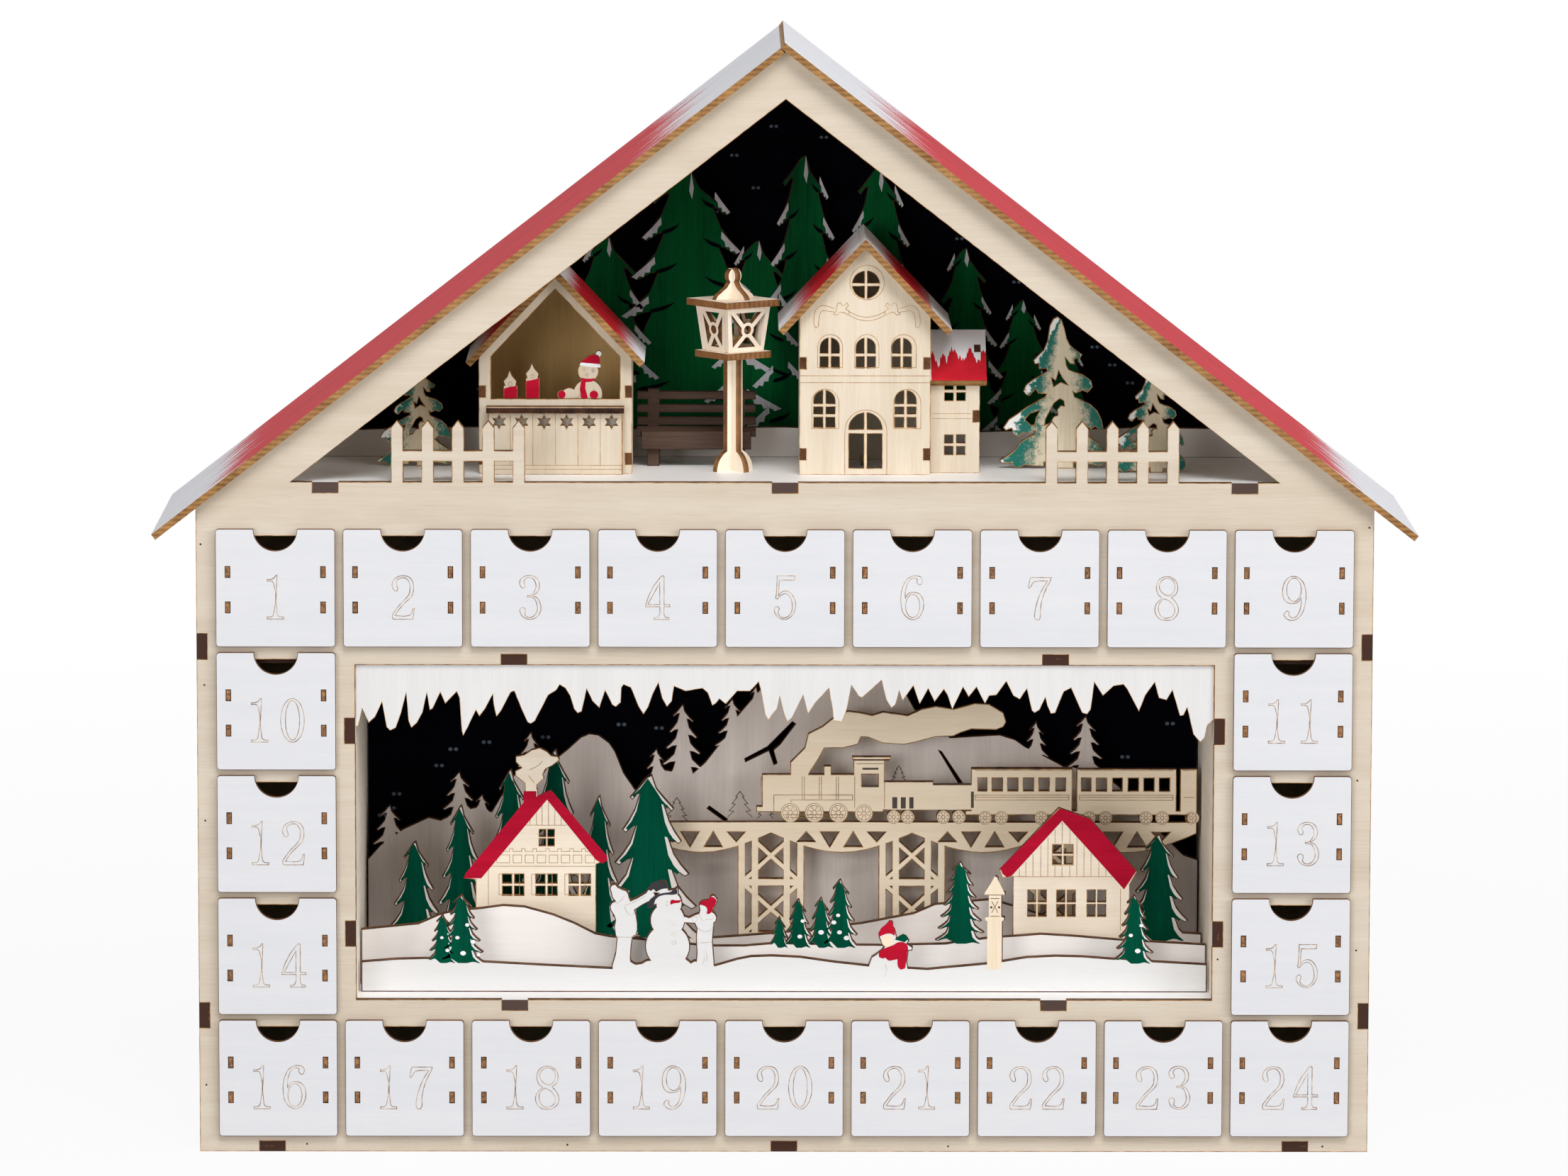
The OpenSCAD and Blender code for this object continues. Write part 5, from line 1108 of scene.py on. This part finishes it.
railY = frontOf("railway")
lines = startSheet()
for x, z, size in wheels:
    for share in wheel["rims"]:
        circle = oval(x, z, size * share, size * share, wheel["points"])
        layLine(lines, spots(circle, railY, plain), railY, pen["wheel"], True)
    for k in range(wheel["spokes"]):
        turn = math.radians(360 / wheel["spokes"] * (k + 0.5))
        ends = [(x + size * r * math.cos(turn), z + size * r * math.sin(turn))
                for r in wheel["spokeEnds"]]
        layLine(lines, spots(ends, railY, plain), railY, pen["wheel"])
engrave(lines, [[(x, 273), (x, 305)] for x in boilerBands] + trainStrokes, railY, stage)
engrave(lines, [frame4(*box) for box in trainFrames], railY, stage, closed=True)
finishSheet("trainLines", lines, "scorch")
# The slots are dark patches, painted shade where the real board is cut through
for name, boxes, finish, thick in (("trainSlots", trainSlots, "slotShade", coat["line"]),
                                   ("trainTops", trainTops, "scorchDark", coat["paint"])):
    dark = startSheet()
    for box in boxes:
        layPatch(dark, [spots(frame4(*box), railY, stage)], railY, thick)
    finishSheet(name, dark, finish)

# Mountains: little firs drawn with one line; the half is in shares of a fir's height
hillFirs = [(-145, 242, 33), (-56, 248, 36), (-20, 246, 24), (168, 300, 20)]
hillFirHalf = [(0.0, 1.0), (0.16, 0.8), (0.1, 0.78), (0.3, 0.52), (0.18, 0.5), (0.42, 0.24),
               (0.24, 0.22), (0.48, 0.0)]
lines = startSheet()
for x, low, size in hillFirs:
    shape = [(x - a * size, low + b * size) for a, b in reversed(hillFirHalf)]
    shape += [(x + a * size, low + b * size) for a, b in hillFirHalf[1:]]
    engrave(lines, [shape], frontOf("mountains"), stage, pen["hillFir"])
finishSheet("mountainFirs", lines, "scorchDark")

# Night sky: pairs of faint dots, as far apart and as large as said
stars = [
    (stage, 4, (3, 2.6), [
        (-460, 343), (-413, 353), (-223, 378), (-170, 373), (550, 380), (487, 333), (-560, 250),
        (-540, 280), (-548, 260), (-480, 320), (-330, 360), (-60, 372)]),
    (attic, 3.5, (2.6, 2.2), [
        (-10, 495), (-65, 455), (-35, 410), (-85, 377), (440, 190), (465, 165), (490, 140),
        (-180, 390), (60, 480), (150, 430), (250, 340), (330, 280), (-290, 270), (-380, 170),
        (-420, 130), (95, 520), (200, 390)]),
]
sky = startSheet()
skyY = frontOf("night_skies")
for place, apart, half, dots in stars:
    for x, z in dots:
        for shift in (-apart, apart):
            layPatch(sky, [spots(oval(x + shift, z, *half, 12), skyY, place)], skyY, coat["dot"])
finishSheet("skyStars", sky, "star")
print("railway, mountains and sky drawn")

# Snow figures on the front bank
bankY = frontOf("snow_front")
red, black, green, skin, bare = (startSheet() for _ in range(5))


def dab(sheet, points, smooth=True):
    path = smoothPath(points) if smooth else points
    layPatch(sheet, [spots(path, bankY, stage)], bankY)


dab(black, [(-185, 146), (-182, 153), (-175, 157), (-168, 158), (-162, 157), (-158, 149),
            (-157, 147), (-166, 146), (-174, 142), (-178, 146), (-182, 143)])
dab(black, [(-185, 119), (-186, 125), (-183, 131), (-177, 136), (-170, 139), (-160, 141),
            (-154, 142), (-149, 146), (-146, 148), (-144, 143), (-145, 139), (-150, 138),
            (-160, 138), (-169, 136), (-175, 131), (-177, 125), (-178, 120)])
dab(red, [(-154, 129), (-152, 131), (-145, 130), (-138, 131), (-141, 127), (-148, 126),
          (-154, 124)])
dab(red, [(-113, 124), (-110, 129), (-105, 130), (-101, 131), (-98, 135), (-95, 135),
          (-91, 133), (-89, 129), (-91, 124), (-93, 121), (-95, 115), (-99, 111), (-103, 111),
          (-102, 117), (-104, 121), (-108, 123)])
dab(red, [(140, 78), (141, 86), (146, 93), (152, 97), (155, 101), (159, 101), (161, 95),
          (163, 88), (163, 80), (158, 83), (152, 83), (146, 81)])
dab(skin, oval(153, 73, 8.5, 8.5, 20), smooth=False)
dab(red, [(141, 56), (146, 61), (153, 64), (161, 67), (168, 71), (178, 70), (182, 64),
          (181, 56), (180, 46), (178, 34), (172, 32), (168, 36), (167, 47), (162, 46),
          (155, 45), (150, 49), (146, 48), (141, 50)])
dab(green, [(163, 75), (170, 79), (176, 83), (180, 80), (181, 74), (177, 71), (170, 73)])
dab(bare, [(294, 33), (294, 101), (291, 102), (291, 106), (296, 107), (296, 137), (290, 138),
           (290, 141), (299, 155), (304, 164), (306, 164), (311, 155), (318, 141), (318, 138),
           (313, 137), (313, 107), (317, 106), (317, 102), (314, 101), (314, 33)], smooth=False)
for name, sheet, finish, slot in (("hats", black, "black", "dark_stain"),
                                  ("clothes", red, "red", "roof_paint"),
                                  ("gift", green, "green", "green_stain"),
                                  ("face", skin, "skin", "snow_paint"),
                                  ("lampPole", bare, "bare", "thin_ply")):
    finishSheet(name, sheet, finish)
# Buttons, folds and faces of the figures, then the lamp's panes
lines = startSheet()
engrave(lines, [oval(-149, z, 3, 2.5, 14) for z in (97, 82, 70)] + [oval(-120, 104, 4, 3.5, 14)],
        bankY, stage, pen["ring"], closed=True)
engrave(lines, [[(-219, 122), (-217, 116), (-211, 109), (-205, 112), (-202, 117)],
                [(-219, 123), (-205, 128), (-190, 136)],
                [(-234, 128), (-228, 126), (-222, 132), (-216, 140)],
                [(-232, 78), (-220, 78), (-205, 79), (-200, 85)],
                [(-160, 131), (-158, 128), (-160, 126)], [(-160, 124), (-157, 122)],
                [(-114, 110), (-108, 101), (-102, 103), (-97, 103), (-93, 105)],
                [(-117, 95), (-112, 88), (-104, 86), (-97, 88), (-93, 95)],
                [(-116, 70), (-105, 70), (-95, 71)],
                [(-107, 59), (-106, 48), (-108, 40)], [(-104, 59), (-102, 50), (-104, 43)],
                [(150, 40), (152, 30), (148, 22)], [(127, 42), (131, 52), (141, 56)]],
        bankY, stage, pen["figure"], smooth=True)
finishSheet("figureLines", lines, "engraveSnow")
lines = startSheet()
lampY = bankY - coat["over"]
engrave(lines, [[(298, 133), (311, 133)], [(298, 108), (311, 108)], [(300, 129), (309, 113)],
                [(309, 129), (300, 113)], [(291, 138), (317, 138)]], lampY, stage)
for box in ((298, 119, 301, 122), (309, 119, 312, 122)):
    layPatch(lines, [spots(frame4(*box), lampY, stage)], lampY, coat["dot"])
finishSheet("lampLines", lines, "scorchDark")
print("figures painted")

# Attic forest: snow lies on most branch ends and a slit shows beside it. Trees are given like
# the firs, points in shares of a branch's reach and of its tier's height
forestTrees = [(-132, 432, 290, 50, 7), (-247, 342, 190, 50, 6), (-37, 337, 180, 50, 6),
               (28, 455, 170, 60, 7), (133, 442, 170, 60, 7), (253, 327, 140, 60, 6),
               (333, 255, 120, 60, 5), (395, 200, 100, 60, 4)]
snowCap = [(0.6, 0.48), (0.69, 0.35), (0.79, 0.21), (0.9, 0.07), (0.975, -0.03), (0.9, -0.09),
           (0.85, -0.01), (0.78, -0.03), (0.76, 0.08), (0.68, 0.09), (0.66, 0.22), (0.59, 0.3)]
slit = [(0.6, 0.05), (0.46, 0.09), (0.33, 0.18), (0.22, 0.34), (0.34, 0.26), (0.46, 0.2),
        (0.58, 0.14)]
forestY = frontOf("attic_forest")
snow, slits = startSheet(), startSheet()
for place, tip, width, foot, tiers in forestTrees:
    height = tip - foot
    for i in range(tiers):
        reach, step, low = tierOf(width, height, tiers, i)
        for hand in (-1, 1):
            if (i + tiers + (hand > 0)) % 4 == 3:
                continue    # this branch is bare
            z = foot + low + (fir["lift"] * step if hand < 0 else 0)
            for sheet, branch, thick in ((snow, snowCap, coat["paint"]),
                                         (slits, slit, coat["dot"])):
                shape = smoothPath([(place + hand * reach * a, z + step * b) for a, b in branch],
                                   steps=2)
                layPatch(sheet, [spots(shape, forestY, plainAttic)], forestY, thick)
    shape = [(place, tip - 1), (place + 3.5, tip - height * 0.06),
             (place + 1, tip - height * 0.1), (place - 3, tip - height * 0.07)]
    layPatch(snow, [spots(shape, forestY, plainAttic)], forestY)
finishSheet("forestSnowCaps", snow, "frost")
finishSheet("forestSlits", slits, "void")
print("forest drawn")

# Stall: planks, shelf edge and the painted goods, in shares of the stall's width
stall = {"left": -109.5, "width": 54.8, "apronFront": -30.4, "planks": 6, "margin": 0.06,
         "plankLow": 245.4, "plankHigh": 263.9, "postLow": 242.1, "postIn": 0.35,
         "belts": (245.4, 243.9), "beltMargin": 0.066, "shelf": 266.68, "shelfFront": -32.8,
         "shelfEdge": (-106.7, 264.35, -57.5, 266.3), "goodsFront": -23.2, "snowman": 0.71}
goodsY = stall["goodsFront"]


def acrossStall(share):
    return stall["left"] + stall["width"] * share


lines = startSheet()
for i in range(stall["planks"] + 1):
    x = acrossStall(stall["margin"] + (1 - 2 * stall["margin"]) * i / stall["planks"])
    low, width = stall["plankLow"], pen["plain"]
    if i in (0, stall["planks"]):
        low, width = stall["postLow"], pen["frame"]
        x += stall["postIn"] if i == 0 else -stall["postIn"]
    layLine(lines, [(x, low), (x, stall["plankHigh"])], stall["apronFront"], width)
for z in stall["belts"]:
    ends = [(acrossStall(share), z) for share in (stall["beltMargin"], 1 - stall["beltMargin"])]
    layLine(lines, ends, stall["apronFront"], pen["plain"])
finishSheet("stallPlanks", lines, "engraveWood")
sheet = startSheet()
layPatch(sheet, [frame4(*stall["shelfEdge"])], stall["shelfFront"], coat["dot"])
finishSheet("shelfEdge", sheet, "char")


def goods(points, x=stall["snowman"], smooth=False):
    path = smoothPath(points) if smooth else points
    return [(acrossStall(a + x), stall["shelf"] + stall["width"] * b) for a, b in path]


# Two candles on the left, then the snowman's cap, scarf with its end, and two balls
red, white = startSheet(), startSheet()
for loop in (goods([(0.162, 0.002), (0.246, 0.002), (0.247, 0.09), (0.244, 0.118), (0.2, 0.112),
                    (0.163, 0.1)], 0),
             goods([(0.307, 0.002), (0.391, 0.002), (0.391, 0.168), (0.36, 0.16), (0.33, 0.154),
                    (0.307, 0.15)], 0),
             goods([(-0.045, 0.272), (-0.041, 0.278), (-0.02, 0.297), (0.03, 0.322),
                    (0.068, 0.322), (0.077, 0.298), (0.081, 0.262), (0.03, 0.266)], smooth=True),
             goods([(-0.042, 0.172), (-0.046, 0.16), (-0.03, 0.148), (0.02, 0.146),
                    (0.042, 0.156), (0.046, 0.17), (0.02, 0.166), (-0.02, 0.168)], smooth=True),
             goods([(-0.044, 0.15), (-0.014, 0.148), (-0.016, 0.1), (-0.002, 0.05),
                    (0.006, 0.003), (-0.034, 0.003), (-0.046, 0.05), (-0.052, 0.1)]),
             goods(oval(-0.17, 0.062, 0.025, 0.025, 18)),
             goods(oval(0.04, 0.06, 0.028, 0.028, 18))):
    layPatch(red, [loop], goodsY)
for loop in (goods([(-0.053, 0.254), (-0.046, 0.27), (-0.01, 0.272), (0.03, 0.266),
                    (0.081, 0.259), (0.083, 0.24), (0.05, 0.24), (0.0, 0.246)], smooth=True),
             goods(oval(0.072, 0.33, 0.0175, 0.0175, 16))):
    layPatch(white, [loop], goodsY)
finishSheet("goodsRed", red, "red")
finishSheet("goodsWhite", white, "white")
lines = startSheet()
for x, z in ((-0.024, 0.228), (0.034, 0.22), (-0.006, 0.19)):
    layLine(lines, goods(oval(x, z, 0.008, 0.009, 12)), goodsY, pen["hair"], True)
for stroke in ([(-0.1, 0.035), (-0.07, 0.04), (-0.05, 0.06)], [(0.04, 0.09), (0.044, 0.1)]):
    layLine(lines, goods(stroke), goodsY, pen["hair"])
for x, z in ((0.204, 0.13), (0.349, 0.18)):
    layLine(lines, goods(oval(x, z, 0.011, 0.014, 12), 0), goodsY, pen["ring"], True)
finishSheet("goodsLines", lines, "scorch")
print("stall dressed")

# Town house: ring, belts, arched frames, garland with two bows, and the annex's belts
house = {"middle": 121, "ring": 24, "annexFront": -24.0,
         "arches": [(69.5, 161, 17.5, 207), (121, 161, 17, 207), (172.5, 161, 17.5, 207),
                    (63, 76, 19, 131), (178, 76, 19, 131), (120, 11.5, 29.5, 102)],
         "belts": [[(27, 149.5), (211, 149.5)], [(27, 140), (211, 140)]],
         "annexBelts": [[(213, 97), (268, 97)], [(213, 90), (268, 90)]]}
bow = [(78, 243), (80, 250), (84, 251), (86, 247), (90, 248), (93, 251), (95, 247), (91, 243),
       (97, 238), (94, 234), (90, 237), (84, 238), (79, 234), (74, 235), (78, 239)]
tail = [(75, 243), (66, 246), (57, 247), (50, 242), (47, 232), (47, 220), (49, 216), (53, 218),
        (54, 230), (56, 237), (60, 240), (67, 239), (76, 238)]
swag = [[(95, 239), (108, 233), (121, 231), (134, 233), (147, 239)],
        [(95, 234), (108, 228), (121, 226), (134, 228), (147, 234)]]
houseY = frontOf("house_walls")
lines = startSheet()
engrave(lines, [oval(house["middle"], 279, house["ring"], house["ring"], 40)]
        + [archLine(*arch) for arch in house["arches"]], houseY, attic, pen["frame"], closed=True)
engrave(lines, house["belts"], houseY, attic)
for hand in (1, -1):
    bowHere, tailHere = ([(house["middle"] + hand * (x - house["middle"]), z) for x, z in points]
                         for points in (bow, tail))
    engrave(lines, [bowHere], houseY, attic, closed=True)
    engrave(lines, [tailHere], houseY, attic, smooth=True)
engrave(lines, swag, houseY, attic, smooth=True)
engrave(lines, house["annexBelts"], house["annexFront"], attic, pen["hair"])
finishSheet("houseLines", lines, "engraveWood")
print("town house drawn")

# Brads that hold the panel
brad = {"radius": 1.4, "points": 12,
        "places": [(-814, 630), (828, 655), (771, -219), (620, 47), (-810, 433), (-810, 242),
                   (-811, -132), (-669, -216), (240, -219), (-300, -217), (815, 300), (816, 60)]}
sheet = startSheet()
for x, z in brad["places"]:
    head = oval(x, z, brad["radius"], brad["radius"], brad["points"])
    layPatch(sheet, [spots(head, drawing["panel"], stage)], drawing["panel"], coat["dot"])
finishSheet("brads", sheet, "char")
print("brads set")

# Floor and light: a white table top that fades into the white round it
room = {"floor": 24.0, "paper": (30, 30, 30), "sky": 0.22, "near": 0.45, "far": 1.3, "glow": 0.93,
        "aim": (0, 0, 0.2), "white": (1, 1, 1, 1)}
# Each lamp's place, width and power
lamps = {"right": ((2.4, -2.0, 1.1), 1.6, 42.0), "high": ((0.3, -2.1, 2.8), 1.5, 72.0),
         "left": ((-1.5, -2.95, 0.65), 1.4, 38.0)}


# 1 where the background is looked at, straight or through metal and glass
def seenRays(tree):
    path = tree.nodes.new("ShaderNodeLightPath").outputs
    return larger(path["Is Camera Ray"],
                  larger(path["Is Glossy Ray"], path["Is Transmission Ray"]))


def makeFloor():
    mesh = bpy.data.meshes.new("tableTop")
    half = room["floor"] / 2
    mesh.from_pydata([(x, y, 0) for x, y in frame4(-half, -half, half, half)], [], [(0, 1, 2, 3)])
    floor = bpy.data.objects.new("tableTop", mesh)
    bpy.context.collection.objects.link(floor)
    material, shader, where = startFinish("tablePaper", rough=0.9, shine=0.1)[:3]
    tree = material.node_tree
    plug(shader.inputs["Base Color"], grainOf(where, woods["tablePaper"], room["paper"])["Color"])
    away = vectors("LENGTH", where)["Value"]
    fade = times(seenRays(tree), ramp(away, room["near"], room["far"], room["glow"], 1.0))
    glow = tree.nodes.new("ShaderNodeEmission")
    glow.inputs[0].default_value = room["white"]
    both = addNode("ShaderNodeMixShader", (fade, shader.outputs[0], glow.outputs[0]))
    output = next(n for n in tree.nodes if n.type == "OUTPUT_MATERIAL")
    plug(output.inputs[0], both.outputs[0])
    mesh.materials.append(material)


def makeSoftbox(name, place, width, power):
    data = bpy.data.lights.new(name, "AREA")
    data.shape = "SQUARE"
    data.size = width
    data.energy = power
    lamp = bpy.data.objects.new(name, data)
    lamp.location = place
    ahead = Vector(room["aim"]) - Vector(place)
    lamp.rotation_euler = ahead.to_track_quat("-Z", "Y").to_euler()
    bpy.context.collection.objects.link(lamp)


def makeWorld():
    world = bpy.data.worlds.new("studio")
    bpy.context.scene.world = world
    world.use_nodes = True
    tree = world.node_tree
    tree.nodes.clear()
    back = addNode("ShaderNodeBackground",
                   (room["white"], ramp(seenRays(tree), 0.0, 1.0, room["sky"], 1.0)))
    output = tree.nodes.new("ShaderNodeOutputWorld")
    plug(output.inputs[0], back.outputs[0])


makeFloor()
for name, values in lamps.items():
    makeSoftbox(name, *values)
makeWorld()
bpy.context.scene.view_settings.view_transform = "Standard"
print("floor and lights set")
